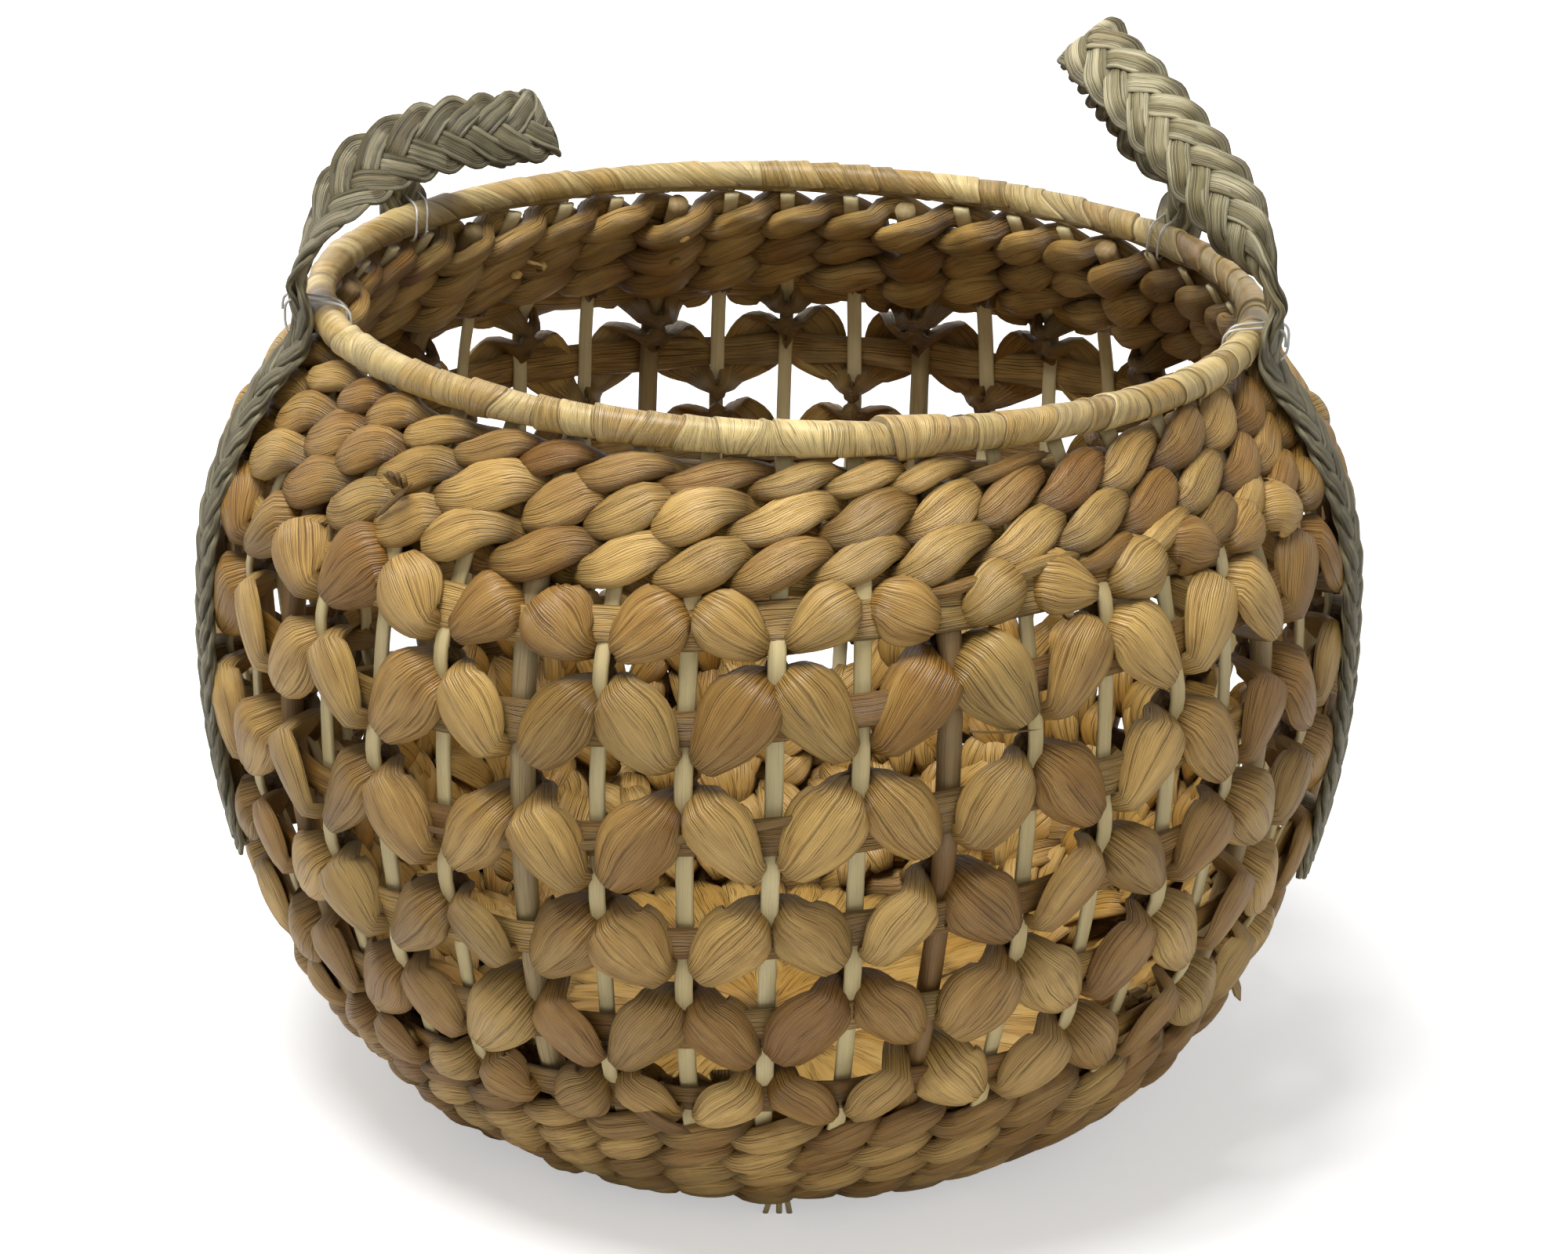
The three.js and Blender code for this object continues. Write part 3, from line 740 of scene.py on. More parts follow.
def petal_strand(rng, row, sizes):
    """A zigzag strand: a full petal over the core between stakes, drawn in behind each stake."""
    first = STAKES // 2 + 0.5
    stake = (np.arange(STAKES + 1)[:, None] + math.floor(first) + PETAL_SHARES).ravel()
    stake = stake[(stake >= first) & (stake <= first + STAKES + PETAL_LAP)]
    index = np.floor(stake).astype(int)
    share = stake - index
    sign = np.where(index % 2 == row % 2, 1.0, -1.0)
    middle, height = open_row(row, stake)

    def own(low, high):
        """A value of each petal's own."""
        return rng.uniform(low, high, STAKES)[index % STAKES]

    off = np.minimum(share, 1 - share)
    nearest = np.round(stake).astype(int)
    cane = np.isin(nearest % STAKES, CANE_PLACES)
    pitch = TURN * line_at(middle)[0] / STAKES
    edge = np.where(cane, CANE_D / 2, PINCHED_HALF) / pitch
    tip = height / 2 - np.minimum(sizes.tip_room, 0.15 * height)
    lean = 0.5 * np.cos(math.pi * share) + 0.5 * (1 - 2 * share)
    own_tip = 1 + rng.normal(0, 0.05, 2 * STAKES)[nearest % (2 * STAKES)]
    free = eased(off, edge, edge + 0.14)
    seat = PETAL_SEAT + own(-0.0005, 0.0014)
    out = free * seat - (1 - free) * (np.where(cane, CANE_D, REED_T) + PINCHED_BEHIND)
    points, away = on_wall(stake, middle + sign * tip * lean * own_tip, out)
    roll = own(-0.3, 0.3) * free
    from_head = np.where(sign > 0, share, 1 - share) ** own(0.62, 0.92)
    full = np.sin(math.pi * from_head) ** own(1.2, 1.7)
    widest = np.minimum(sizes.petal / 2, 0.34 * np.hypot(2 * tip, pitch)) * own(0.98, 1.22)
    hump = PETAL_SEAT * (1 - eased(off, 0.0, edge + 0.03))
    spread = (widest - PINCHED_HALF) * full * eased(off, 0.5 * edge, edge + 0.08)
    half = np.maximum(PINCHED_HALF + spread, hump)
    angle = around(sizes.sides)
    top = np.sin(angle) > 0
    crown = (0.0019 + 0.0024 * full * own(0.7, 1.3))[:, None]
    belly = (0.002 - 0.0008 * full)[:, None]
    curl = (0.0028 * full * own(0.5, 1.5))[:, None]
    folds = pleats(rng, angle, stake + 0.5, 16, 0.13)
    fan = (0.3 + 0.7 * (1 - eased(off, edge, 0.36)))[:, None]
    thick = np.where(top, crown, belly) * squared(np.sin(angle), 0.85) - curl * np.cos(angle) ** 2
    # Painted shade at each end of a petal, where it goes in behind a stake, and a browner pinch there
    # too.
    return strand(
        points, away, half[:, None] * np.cos(angle), thick - folds * fan * PLEAT_DEPTH * top,
        roll=roll, grain_w=0.0072, tint=own(0, 1), pinch=1 - eased(off, edge, 0.33),
        painted_shade=0.55 * (1 - eased(off, edge - 0.02, edge + 0.05)),
    )


class BASKET_OT_petals(bpy.types.Operator):
    """Weave the zigzag strands whose petals make the openwork pattern"""

    bl_idname = "basket.petals"
    bl_label = "Petals"

    def execute(self, context):
        rng = np.random.default_rng(SEED + 3)
        for row in range(OPEN_COUNT):
            petals = petal_strand(rng, row, context.scene.basket_openwork)
            weave(f"petal_strand_{row + 1}", [petals], "Petal leaf",
                  [f"openwork_petals_{row + 1}"])
        return {"FINISHED"}


# Stakes

REED_FROM = 0.06
REED_SIDES = 10
CANE_SIDES = 14
KNOT_BOW = 0.0034
KNOT_REACH = 0.0125
JOINT_REACH = 0.003
JOINT_SWELL = 0.09


def swelling(reach, at, size):
    """A rise from 0 to 1 and back round a place, as wide as size."""
    return np.exp(-(((reach - at) / size) ** 2))


def knot_bow(reach, stake):
    """How far a stake bows out where petals meet behind it."""
    knots = [i for i in range(len(OPEN_EDGES)) if (i + stake) % 2 == 1]
    return KNOT_BOW * sum(swelling(reach, open_edge(i)(stake), KNOT_REACH) for i in knots)


def reed_strand(rng, stake, sizes):
    """One flat reed, from under the base to the rim."""
    reach = np.linspace(REED_FROM, AT_NECK + 0.003, 90)
    angle = around(REED_SIDES, 0.5)
    sway = wavering(rng, 0.0006, 9, reach)
    roll = wavering(rng, 0.14, 7, reach)
    out = knot_bow(reach, stake) - REED_T / 2
    points, away = on_wall(stake + stakes_round(sway, reach), reach, out)
    half = np.full((len(reach), 1), sizes.reed / 2 * rng.uniform(0.92, 1.1))
    return strand(points, away, half * squared(np.cos(angle), 0.55),
                  REED_T / 2 * squared(np.sin(angle), 0.7), roll=roll, grain_w=0.004,
                  tint=rng.uniform(0, 1))


def cane_strand(rng, stake):
    """One round cane with its joints and slight bends."""
    reach = np.linspace(AT_BASE + 0.006, AT_NECK + 0.002, 110)
    angle = around(CANE_SIDES)
    sway = wavering(rng, 0.0008, 8, reach)
    points, away = on_wall(stake + stakes_round(sway, reach), reach, -CANE_D / 2)
    thickness = 1 + wavering(rng, 0.035, 12, reach)
    for joint in rng.uniform(AT_BASE + 0.03, AT_NECK - 0.02, 3):
        thickness += JOINT_SWELL * swelling(reach, joint, JOINT_REACH)
    ridge = 1 + 0.03 * np.cos(3 * angle + 60 * reach[:, None])
    radius = (CANE_D / 2 * thickness)[:, None] * ridge
    return strand(points, away, radius * np.cos(angle), radius * np.sin(angle), grain_w=0.004,
                  tint=rng.uniform(0, 1))


class BASKET_OT_stakes(bpy.types.Operator):
    """Stand the flat reeds and round canes that carry the weave"""

    bl_idname = "basket.stakes"
    bl_label = "Reeds and canes"

    def execute(self, context):
        sizes = context.scene.basket_openwork
        rng = np.random.default_rng(SEED + 4)
        places = [stake for stake in range(STAKES) if stake not in CANE_PLACES]
        reeds = [reed_strand(rng, stake, sizes) for stake in places]
        weave("reeds", reeds, "Split reed", node_names("reed_group"))
        canes = [cane_strand(rng, stake) for stake in CANE_PLACES]
        weave("canes", canes, "Round cane", node_names("cane_"))
        return {"FINISHED"}


LEAF_SIDES = 12

# Loose ends: places on the wall, each a stake, a reach and a depth, then the half width, the half
# thickness and the tint, and whether the end is cut square
TUFT = [
    (((place, 0.136, 0.004), (place + lean, 0.127, 0.011)), 0.0011, 0.0006, 0.5, True)
    for place, lean in ((0.18, -0.1), (0.32, 0.02), (0.44, 0.1))
]
STRIPS = [
    (((-4.9, 0.3055, 0.004), (-3.2, 0.309, 0.0062), (-1.9, 0.315, 0.0052), (-0.4, 0.324, 0.0046),
      (0.5, 0.331, 0.0035)), 0.0017, 0.0008, 0.98, True),
    (((-5.25, 0.405, 0.008), (-4.7, 0.418, 0.0135)), 0.0012, 0.0007, 0.1, False),
    (((8.25, 0.212, 0.003), (8.3, 0.203, 0.0125)), 0.0035, 0.0009, 0.9, False),
    (((2.1, 0.3575, 0.005), (2.55, 0.3565, 0.0075), (3.0, 0.3555, 0.006)),
     0.0004, 0.0003, 0.9, False),
    (((-1.75, 0.2115, 0.007), (-1.3, 0.2065, 0.0115), (-0.95, 0.199, 0.0085)),
     0.0036, 0.0012, 0.95, False),
]
STRIPS += [
    (((-5.05 + lean, 0.4165, 0.0075), (-5.0 + 2.2 * lean, 0.4185, 0.0145)),
     0.0016, 0.0009, tint, True)
    for lean, tint in ((-0.07, 0.9), (-0.02, 0.3), (0.03, 0.95), (0.08, 0.5))
]
STRIPS += [
    (((stake, reach, -0.012), (stake + lean, reach + 0.004, -0.0185)), 0.0024, 0.0011, 0.9, False)
    for stake, reach, lean in (
        (-17.6, 0.428, 0.14), (-17.3, 0.431, -0.1), (-17.1, 0.426, 0.1), (-20.2, 0.437, 0.12),
        (23.9, 0.424, 0.1),
    )
]


def loose_end(rng, path, half, thin, tint, cut):
    """A flat end of leaf or reed."""
    steps = 12
    at = np.linspace(0, len(path) - 1, steps)
    stake, reach, out = (np.interp(at, np.arange(len(path)), places) for places in zip(*path))
    points, away = on_wall(stake, reach, out)
    share = np.linspace(0, 1, steps)
    full = np.clip(0.45 + share * 3, 0, 1)
    if not cut:
        full = full * np.clip((1.04 - share) * 3, 0.1, 1)
    angle = around(LEAF_SIDES)
    fold = pleats(rng, angle, share * 2, 5)
    thick = (thin * full)[:, None] * np.sin(angle) * (1 - 0.4 * fold)
    return strand(points, away, (half * full)[:, None] * np.cos(angle), thick, tint=tint, pinch=0.2)


class BASKET_OT_loose_ends(bpy.types.Operator):
    """Leave the cut and loose ends of leaf and reed that stand out of the weave"""

    bl_idname = "basket.loose_ends"
    bl_label = "Loose ends"

    def execute(self, context):
        rng = np.random.default_rng(SEED + 11)
        weave("reed_tuft", [loose_end(rng, *end) for end in TUFT], "Split reed")
        weave("loose_leaf_ends", [loose_end(rng, *end) for end in STRIPS], "Core leaf")
        return {"FINISHED"}


# Base and lining

FLOOR_Z = 0.0148
FLOOR_LEAF_HALF = 0.0085
SOLE_TOP = 0.0145
SOLE_ROW = 0.0172
LEAF_THIN = 0.0022
LINING_FROM = 0.1
LINING_DEPTH = 0.0105

# Leaves of the floor from the middle out: how many, from which radius to which
FLOOR_LEAVES = ((16, 0.0, 0.05), (30, 0.03, 0.088), (48, 0.07, 0.121))

# Rows of the sole: lobes and radius
SOLE_ROWS = (
    (11, 0.012), (22, 0.028), (22, 0.044), (44, 0.060), (44, 0.076), (44, 0.092), (44, 0.108),
)


def flat_leaf(points, away, share, full, fold, half, curl, tint, painted_shade):
    """A flat leaf with pleats, drawn in at both ends."""
    angle = around(LEAF_SIDES)
    thick = (LEAF_THIN * full)[:, None] * np.sin(angle) * (1 - 0.3 * fold)
    thick += curl * np.cos(angle) ** 2
    # Pinch and painted shade at both drawn-in ends, where the leaf goes under its neighbours.
    pinch = np.clip(1 - np.sin(math.pi * share) * 1.4, 0, 1)
    return strand(points, away, (half * full)[:, None] * np.cos(angle), thick, tint=tint,
                  pinch=pinch, painted_shade=painted_shade * pinch)


def floor_leaf(rng, turn, inner, outer):
    """One leaf of the floor, lying from near the middle towards the wall."""
    share = np.linspace(0, 1, 9)
    bend = rng.normal(0, 0.05) * share * (1 - share)
    lift = FLOOR_Z + 0.002 * np.sin(math.pi * share) + rng.uniform(0, 0.001)
    points = polar(inner + (outer - inner) * share, turn + bend, lift)
    full = 0.35 + 0.65 * np.sin(math.pi * np.clip(share, 0.02, 0.98)) ** 0.7
    fold = pleats(rng, around(LEAF_SIDES), share * 2, 8)
    return flat_leaf(points, np.tile(UP, (len(share), 1)), share, full, fold,
                     half=FLOOR_LEAF_HALF, curl=0.0, tint=rng.uniform(0, 1), painted_shade=0.6)


def inner_leaf(rng, stake, reach, size):
    """One loose leaf end that lies on the inside of the wall, bulged towards the middle."""
    share = np.linspace(0, 1, 8)
    lean = rng.uniform(-0.9, 0.9)
    long = size * (share - 0.5)
    depth = LINING_DEPTH + 0.004 * np.sin(math.pi * share) + rng.uniform(0, 0.004)
    sideways = stakes_round(long * math.sin(lean), reach)
    points, away = on_wall(stake + sideways, reach + long * math.cos(lean), -depth)
    full = 0.3 + 0.7 * np.sin(math.pi * np.clip(share * rng.uniform(0.8, 1.0), 0.03, 0.97)) ** 0.7
    fold = pleats(rng, around(LEAF_SIDES), share * 2, 7)
    return flat_leaf(points, away, share, full, fold, half=rng.uniform(0.006, 0.009),
                     curl=rng.uniform(-0.003, 0.003), tint=rng.uniform(0, 1), painted_shade=0.4)


class BASKET_OT_lining(bpy.types.Operator):
    """Scatter the loose leaf ends that line the lower wall on the inside"""

    bl_idname = "basket.lining"
    bl_label = "Loose leaf ends inside"

    def execute(self, context):
        rng = np.random.default_rng(SEED + 10)
        leaves = []
        for _ in range(context.scene.basket_base.leaf_ends):
            stake = rng.uniform(0, STAKES)
            behind = 0.5 - 0.5 * math.cos(turn_of(stake))
            top = AT_FOOT - 0.012 + 0.072 * behind
            reach = LINING_FROM + rng.uniform(0.1, 1.0) ** 0.8 * (top - LINING_FROM)
            leaves.append(inner_leaf(rng, stake, reach, rng.uniform(0.022, 0.034)))
        weave("leaf_ends", leaves, "Floor leaf")
        return {"FINISHED"}


class BASKET_OT_base(bpy.types.Operator):
    """Weave the floor and the sole of the basket"""

    bl_idname = "basket.base"
    bl_label = "Base"

    def execute(self, context):
        rng = np.random.default_rng(SEED + 5)
        leaves = []
        for count, inner, outer in FLOOR_LEAVES:
            for i in range(count):
                turn = (i + rng.uniform(-0.15, 0.15)) * TURN / count
                leaves.append(floor_leaf(rng, turn, inner + rng.uniform(0, 0.006), outer))
        weave("floor_leaves", leaves, "Floor leaf", ["base_floor"])
        sole = []
        for lobes, radius in SOLE_ROWS:
            first = rng.uniform(0, STAKES)
            sole += twined_pair(rng, first, first + STAKES + ROW_LAP,
                                lambda stake: (radius, SOLE_ROW), context.scene.basket_twining,
                                lobes_per_stake=lobes / STAKES, rings=lobes * 8)
        for piece in sole:
            piece["rings"][..., 2] = np.clip(piece["rings"][..., 2], 0.0, SOLE_TOP)
        weave("sole_rows", sole, "Core leaf", ["base_sole"])
        return {"FINISHED"}


# Rim

# Rings across one turn of the strip, and how high the strip stands at each
WRAP_SHARES = np.array([0.0, 0.025, 0.09, 0.3, 0.55, 0.8, 0.93, 0.985])
WRAP_RISE = np.array([0.0003, 0.0006, 0.0006, 0.0004, 0.00025, 0.00015, 0.00005, -0.00015])
WRAP_SIDES = 22
WRAP_R = BINDING_R - 0.0003
WIDE_WRAP_TURN = math.radians(13.5)


def rim_strip(rng, count):
    """The flat strip wound round the hoop, each turn lapped over the one before."""
    widths = rng.uniform(0.6, 1.4, count)
    edges = np.concatenate([[0], np.cumsum(widths)]) * TURN / widths.sum()
    wide_wrap = np.argmin(np.abs((edges[:-1] + edges[1:]) / 2 - WIDE_WRAP_TURN))
    place = (np.arange(count)[:, None] + WRAP_SHARES).ravel()
    wrap = np.floor(place).astype(int)
    rise = np.tile(WRAP_RISE, count) * rng.uniform(0.7, 1.3, count)[wrap]
    rise += rng.normal(0, 0.00018, count)[wrap] + 0.0012 * (wrap == wide_wrap)
    angle = around(WRAP_SIDES) - 2.4
    slant = per_lobe(rng.uniform(-0.5, 0.1, count), place)
    shift = angle / TURN + slant[:, None] * np.sin(angle)
    turns = np.concatenate([edges[-5:-1] - TURN, edges, edges[1:5] + TURN])
    turn = np.interp(place[:, None] - shift, np.arange(-4, count + 5), turns)
    radius = WRAP_R + rise[:, None]
    rings = polar(HOOP_R + radius * np.cos(angle), turn, HOOP_Z + radius * np.sin(angle) * 1.04)
    grain, marks = np.empty_like(rings), np.zeros_like(rings)
    grain[..., 0] = angle * BINDING_R + wrap[:, None] * 0.06
    grain[..., 1] = ((place - wrap) * 0.014)[:, None]
    grain[..., 2] = (wrap * 0.013)[:, None]
    marks[..., 0] = rng.uniform(0, 1, count)[wrap][:, None]
    # Painted shade along the seam where each turn laps over the one before.
    marks[..., 2] = np.where(place - wrap > 0.97, 0.5, 0.0)[:, None]
    return {"rings": rings, "grain": grain, "marks": marks}


class BASKET_OT_rim(bpy.types.Operator):
    """Wind the flat strip round the hoop of the rim"""

    bl_idname = "basket.rim"
    bl_label = "Rim"

    def execute(self, context):
        rng = np.random.default_rng(SEED + 6)
        strip = rim_strip(rng, context.scene.basket_rim.wraps)
        weave("rim_wrapping", [strip], "Rim leaf", ["rim_binding"], closed=True)
        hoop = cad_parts["rim_hoop"]
        hoop.data.materials.clear()
        hoop.data.materials.append(finish_of("Round cane"))
        return {"FINISHED"}


# Handles

# Places on half a loop, as shares of its length, and on a leg between the tie and the hinge
LOOP_SHARES = np.array([0.06, 0.12, 0.18, 0.26, 0.34, 0.42, 0.56, 0.7, 0.83, 0.94, 1.0])
NECK_SHARES = (0.1, 0.5, 0.9)
NECK_LOW = 0.3136
NECK_TALL = 0.0075
FOLD_HALF = 0.005


def strap_line(side):
    """Centres and width directions of one strap: up the front leg, round the loop, down again."""
    loop = LOOPS[side]
    mirror = loop["mirror"]
    middle_turn = turn_of(sum(LEG_STAKES) / 2) * mirror
    spread_turn = turn_of((LEG_STAKES[1] - LEG_STAKES[0]) / 2)
    away, chord = polar(1.0, middle_turn, 0.0), polar(1.0, middle_turn + math.pi / 2, 0.0)

    def leg(stake):
        """The rows of one leg, from its end to the hinge."""
        turn = turn_of(stake) * mirror
        out, across = polar(1.0, turn, 0.0), polar(1.0, turn + math.pi / 2, 0.0)
        low = np.interp(LEG_END_Z, LINE[:, 1], LINE_AT)
        points, _ = on_wall(stake * mirror, np.linspace(low, AT_NECK - 0.002, 9), STRAP_SEAT)
        rows = [(point, across) for point in points]
        for share in NECK_SHARES:
            point = out * HINGE_R + UP * (NECK_LOW + share * NECK_TALL)
            rows.append((point, unit(across * (1 - share) + chord * share)))
        return rows

    lean = math.radians(loop["lean"])
    rise = UP * math.cos(lean) - away * math.sin(lean)
    face = UP * math.sin(lean) + away * math.cos(lean)
    middle = away * HINGE_R * math.cos(spread_turn) + UP * HINGE_Z
    shares = np.concatenate([LOOP_SHARES, LOOP_SHARES[-2::-1]])
    sides = np.sign(len(LOOP_SHARES) - 1 - np.arange(len(shares)))
    arm = FOLD_HALF + (HINGE_R * math.sin(spread_turn) - FOLD_HALF) * (1 - shares**1.6)
    bow = np.where(sides > 0, *loop["bow"]) * np.sin(math.pi * shares)
    local = (middle - np.outer(sides * arm, chord * mirror)
             + np.outer(loop["length"] * shares, rise) + np.outer(bow, face))
    along = unit(np.gradient(local, axis=0))
    twist = -math.pi / 2 * eased(shares, 0.02, loop["turned"])[:, None]
    flat = unit(np.cross(along, face))
    across = flat * np.cos(twist) + unit(np.cross(flat, along)) * np.sin(twist)
    rows = leg(LEG_STAKES[0]) + list(zip(local, across)) + leg(LEG_STAKES[1])[::-1]
    centres, ways = (np.array(column) for column in zip(*rows))
    for i in range(1, len(ways)):
        if np.dot(ways[i], ways[i - 1]) < 0:
            ways[i] = -ways[i]
    return centres, ways


# Whether a strand of the braid lies over, 1, or under, -1, at tenths of its zigzag
BRAID_OVER = np.array([0.0, 1.0, 1.0, -1.0, -1.0, 0.0, 1.0, 1.0, -1.0, -1.0, 0.0])
BRAID_SIDES = 24
TUCK = 0.02


def braid_over(phase):
    """How far a braided strand lies over or under, at a phase of its zigzag."""
    tenth = phase % 1.0 * 10
    i = np.minimum(tenth.astype(int), 9)
    x = smooth(tenth - i)
    return BRAID_OVER[i] * (1 - x) + BRAID_OVER[i + 1] * x


def braided_strap(rng, side, sizes):
    """The strands of one flat strap, braided over two and under two, so that its lobes make a V."""
    centres, ways = strap_line(side)
    at = distances(centres)
    where = np.linspace(0, at[-1], int(at[-1] / sizes.pitch * 10))
    line = smooth_curve(centres, at, where)
    way = unit(smooth_curve(ways, at, where))
    along = unit(np.gradient(line, axis=0))
    way = unit(way - along * np.sum(way * along, axis=1)[:, None])
    face = np.cross(along, way)
    period = sizes.pitch * sizes.strands
    reach = sizes.width / 2 - sizes.strand_width * 0.42
    angle = around(BRAID_SIDES)
    tuck = np.clip(1 - where / TUCK, 0, 1) + np.clip(1 - (at[-1] - where) / TUCK, 0, 1)
    made = []
    for i in range(sizes.strands):
        phase = where / period + i / sizes.strands
        zig = 2 * np.abs(2 * (phase % 1.0) - 1) - 1
        zig = np.sin(zig * math.pi / 2) * 0.6 + zig * 0.4
        over = braid_over(phase)
        stray = astray(rng, 0.0003, phase * 10)
        points = line - way * (zig * reach + stray)[:, None]
        points += face * (over * sizes.thick * 0.27)[:, None]
        half = sizes.strand_width / 2 * uneven(rng, 0.9, 1.12, phase * 10)
        turned = 3 * angle + uneven(rng, -0.4, 0.4, phase * 4)[:, None]
        groove = np.clip(1 - np.abs(np.sin(turned)) / 0.45, 0, 1)
        thick = sizes.thick * 0.25 * squared(np.sin(angle), 0.6) * (1 - 0.5 * groove)
        edge = 1 - np.abs(over)
        # Painted shade where a strand passes under another, at its edges where it turns under, and in
        # its grooves; the pinch browns the edges too.
        painted_shade = (np.clip(-over * 0.9, 0, 1) * 0.6 + 0.55 * edge**2) * (1 - 0.5 * tuck)
        lobe = np.floor(phase * 2 + 0.1)[:, None]
        tint = (np.sin(lobe * 5.1 + np.floor(turned / math.pi) * 2.3 + i) + 1) / 2
        made.append(strand(points, face, half[:, None] * np.cos(angle), thick, grain_w=0.0045,
                           tint=tint, pinch=0.4 * edge, painted_shade=painted_shade[:, None] + 0.5 * groove))
    return made


class BASKET_OT_straps(bpy.types.Operator):
    """Braid the two strap handles, from the leg's end round the loop and down again"""

    bl_idname = "basket.straps"
    bl_label = "Strap handles"

    def execute(self, context):
        rng = np.random.default_rng(SEED + 8)
        for side in LOOPS:
            strands = braided_strap(rng, side, context.scene.basket_strap)
            nodes = [f"{side}_front_leg", f"{side}_rear_leg", f"{side}_handle_loop"]
            piece = weave(f"{side}_strap", strands, "Sea grass", nodes, body=None)
            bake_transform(piece)
        return {"FINISHED"}


THREAD_R = 0.0005
THREAD_SIDES = 6
TIE_TURNS = 1.7
TIE_STEPS = 110


def tie_strand(rng, mirror, stake):
    """Turns of clear thread round the hoop and the strap."""
    phase = np.linspace(0, TIE_TURNS * TURN, TIE_STEPS)
    inner, outer = HOOP_R - BINDING_R - 0.001, HINGE_R + 0.0042
    low, high = HOOP_Z - BINDING_R - 0.0016, HOOP_Z + BINDING_R + 0.0014
    x, y = squared(np.cos(phase), 0.45), squared(np.sin(phase), 0.6)
    slide = np.linspace(-0.006, 0.006, TIE_STEPS) + 0.007 * x * mirror
    turn = turn_of(stake) * mirror + slide / HOOP_R
    points = polar((inner + outer) / 2 + (outer - inner) / 2 * x, turn,
                   (low + high) / 2 + (high - low) / 2 * y)
    away = np.tile([0.0, 0.1, 1.0], (TIE_STEPS, 1))
    angle = around(THREAD_SIDES)
    wide = np.tile(THREAD_R * np.cos(angle), (TIE_STEPS, 1))
    return strand(points, away, wide, THREAD_R * np.sin(angle), tint=rng.uniform(0, 1))


class BASKET_OT_ties(bpy.types.Operator):
    """Tie the strap legs to the rim with clear thread"""

    bl_idname = "basket.ties"
    bl_label = "Thread ties"

    def execute(self, context):
        rng = np.random.default_rng(SEED + 9)
        for side, loop in LOOPS.items():
            for end, stake in zip(("front", "rear"), LEG_STAKES):
                thread = tie_strand(rng, loop["mirror"], stake)
                weave(f"{side}_{end}_thread", [thread], "Clear thread",
                      [f"{side}_{end}_tie"])
        return {"FINISHED"}


# Stage

PHOTO_PIXELS = (2000, 1600)
SENSOR = 36.0
FLOOR_SIZE = 8.0
AIM = Vector((0, 0, 0.15))

# Soft lights: the setting that holds their power, their place and their width
LIGHTS = (
    ("top_light", (-0.3, -0.35, 1.7), 0.9),
    ("front_light", (0.9, -1.9, 1.3), 1.8),
    ("back_light", (-0.9, 1.5, 1.2), 1.4),
)


class BASKET_OT_stage(bpy.types.Operator):
    """Set the pale floor, the soft lights and the camera"""

    bl_idname = "basket.stage"
    bl_label = "Floor, lights and camera"

    def execute(self, context):
        settings = context.scene.basket_stage
        self.lay_floor(settings)
        for key, place, size in LIGHTS:
            name = "Soft " + key.replace("_", " ")
            data = bpy.data.lights.new(name, "AREA")
            data.shape = "DISK"
            data.size = size
            data.energy = getattr(settings, key)
            lamp = linked(name, data)
            lamp.location = place
            lamp.rotation_mode = "QUATERNION"
            lamp.rotation_quaternion = (AIM - Vector(place)).to_track_quat("-Z", "Y")
        self.light_room(context.scene, settings)
        self.place_camera(context.scene, settings)
        context.scene.view_settings.view_transform = "Standard"
        return {"FINISHED"}

    def lay_floor(self, settings):
        """Lays the pale floor, which turns to plain white away from the basket."""
        bpy.ops.object.select_all(action="DESELECT")
        bpy.ops.mesh.primitive_plane_add(size=FLOOR_SIZE, location=(0, 0, 0))
        floor = bpy.context.active_object
        floor.name = "floor"
        paint, wires, shader = new_material("Pale floor")
        place = wires.node("ShaderNodeTexCoord")["Object"]
        away = wires.node("ShaderNodeVectorMath", operation="LENGTH", Vector=place)["Value"]
        glow = wires.ramp(away, 0.5, 1.5, settings.floor_glow, 1.0)
        seen = wires.times(wires.node("ShaderNodeLightPath")["Is Camera Ray"], glow)
        wires.fill(shader, Base_Color=(0.86, 0.86, 0.855, 1), Roughness=0.9, Specular_IOR_Level=0.1,
                   Emission_Strength=1.0, Emission_Color=seen)
        floor.data.materials.append(paint)

    def light_room(self, scene, settings):
        """Lights from all round, with a white backdrop for the camera and for reflections."""
        scene.world = bpy.data.worlds.new("Pale room")
        scene.world.use_nodes = True
        wires = Wiring(scene.world.node_tree)
        rays = wires.node("ShaderNodeLightPath")
        seen = wires.math("MAXIMUM", rays["Is Camera Ray"], rays["Is Glossy Ray"])
        strength = wires.plus(wires.times(seen, 1.0 - settings.room_light), settings.room_light)
        wires.fill(wires.tree.nodes["Background"], Color=(1, 1, 1, 1), Strength=strength)

    def place_camera(self, scene, settings):
        """Stands the camera where the photograph was taken from."""
        data = bpy.data.cameras.new("Camera")
        camera = linked("Camera", data)
        data.sensor_width = SENSOR
        data.lens = settings.lens
        data.clip_start, data.clip_end = 0.05, 20.0
        width, height = PHOTO_PIXELS
        data.shift_x = (width / 2 - settings.centre_x) / width
        data.shift_y = (settings.centre_y - height / 2) / width
        elevation = settings.elevation
        target = Vector((0.0, 0.0, settings.target_z))
        back = Vector((0, -math.cos(elevation), math.sin(elevation)))
        look = (-back).to_track_quat("-Z", "Y").to_matrix() @ Matrix.Rotation(settings.roll, 3, "Z")
        camera.matrix_world = Matrix.Translation(target + back * settings.distance) @ look.to_4x4()
        scene.camera = camera


# Settings

def metres(label, about, default):
    """A length in metres that a user may change."""
    return FloatProperty(name=label, description=about, default=default, min=0.0, subtype="DISTANCE",
                         unit="LENGTH", precision=4)


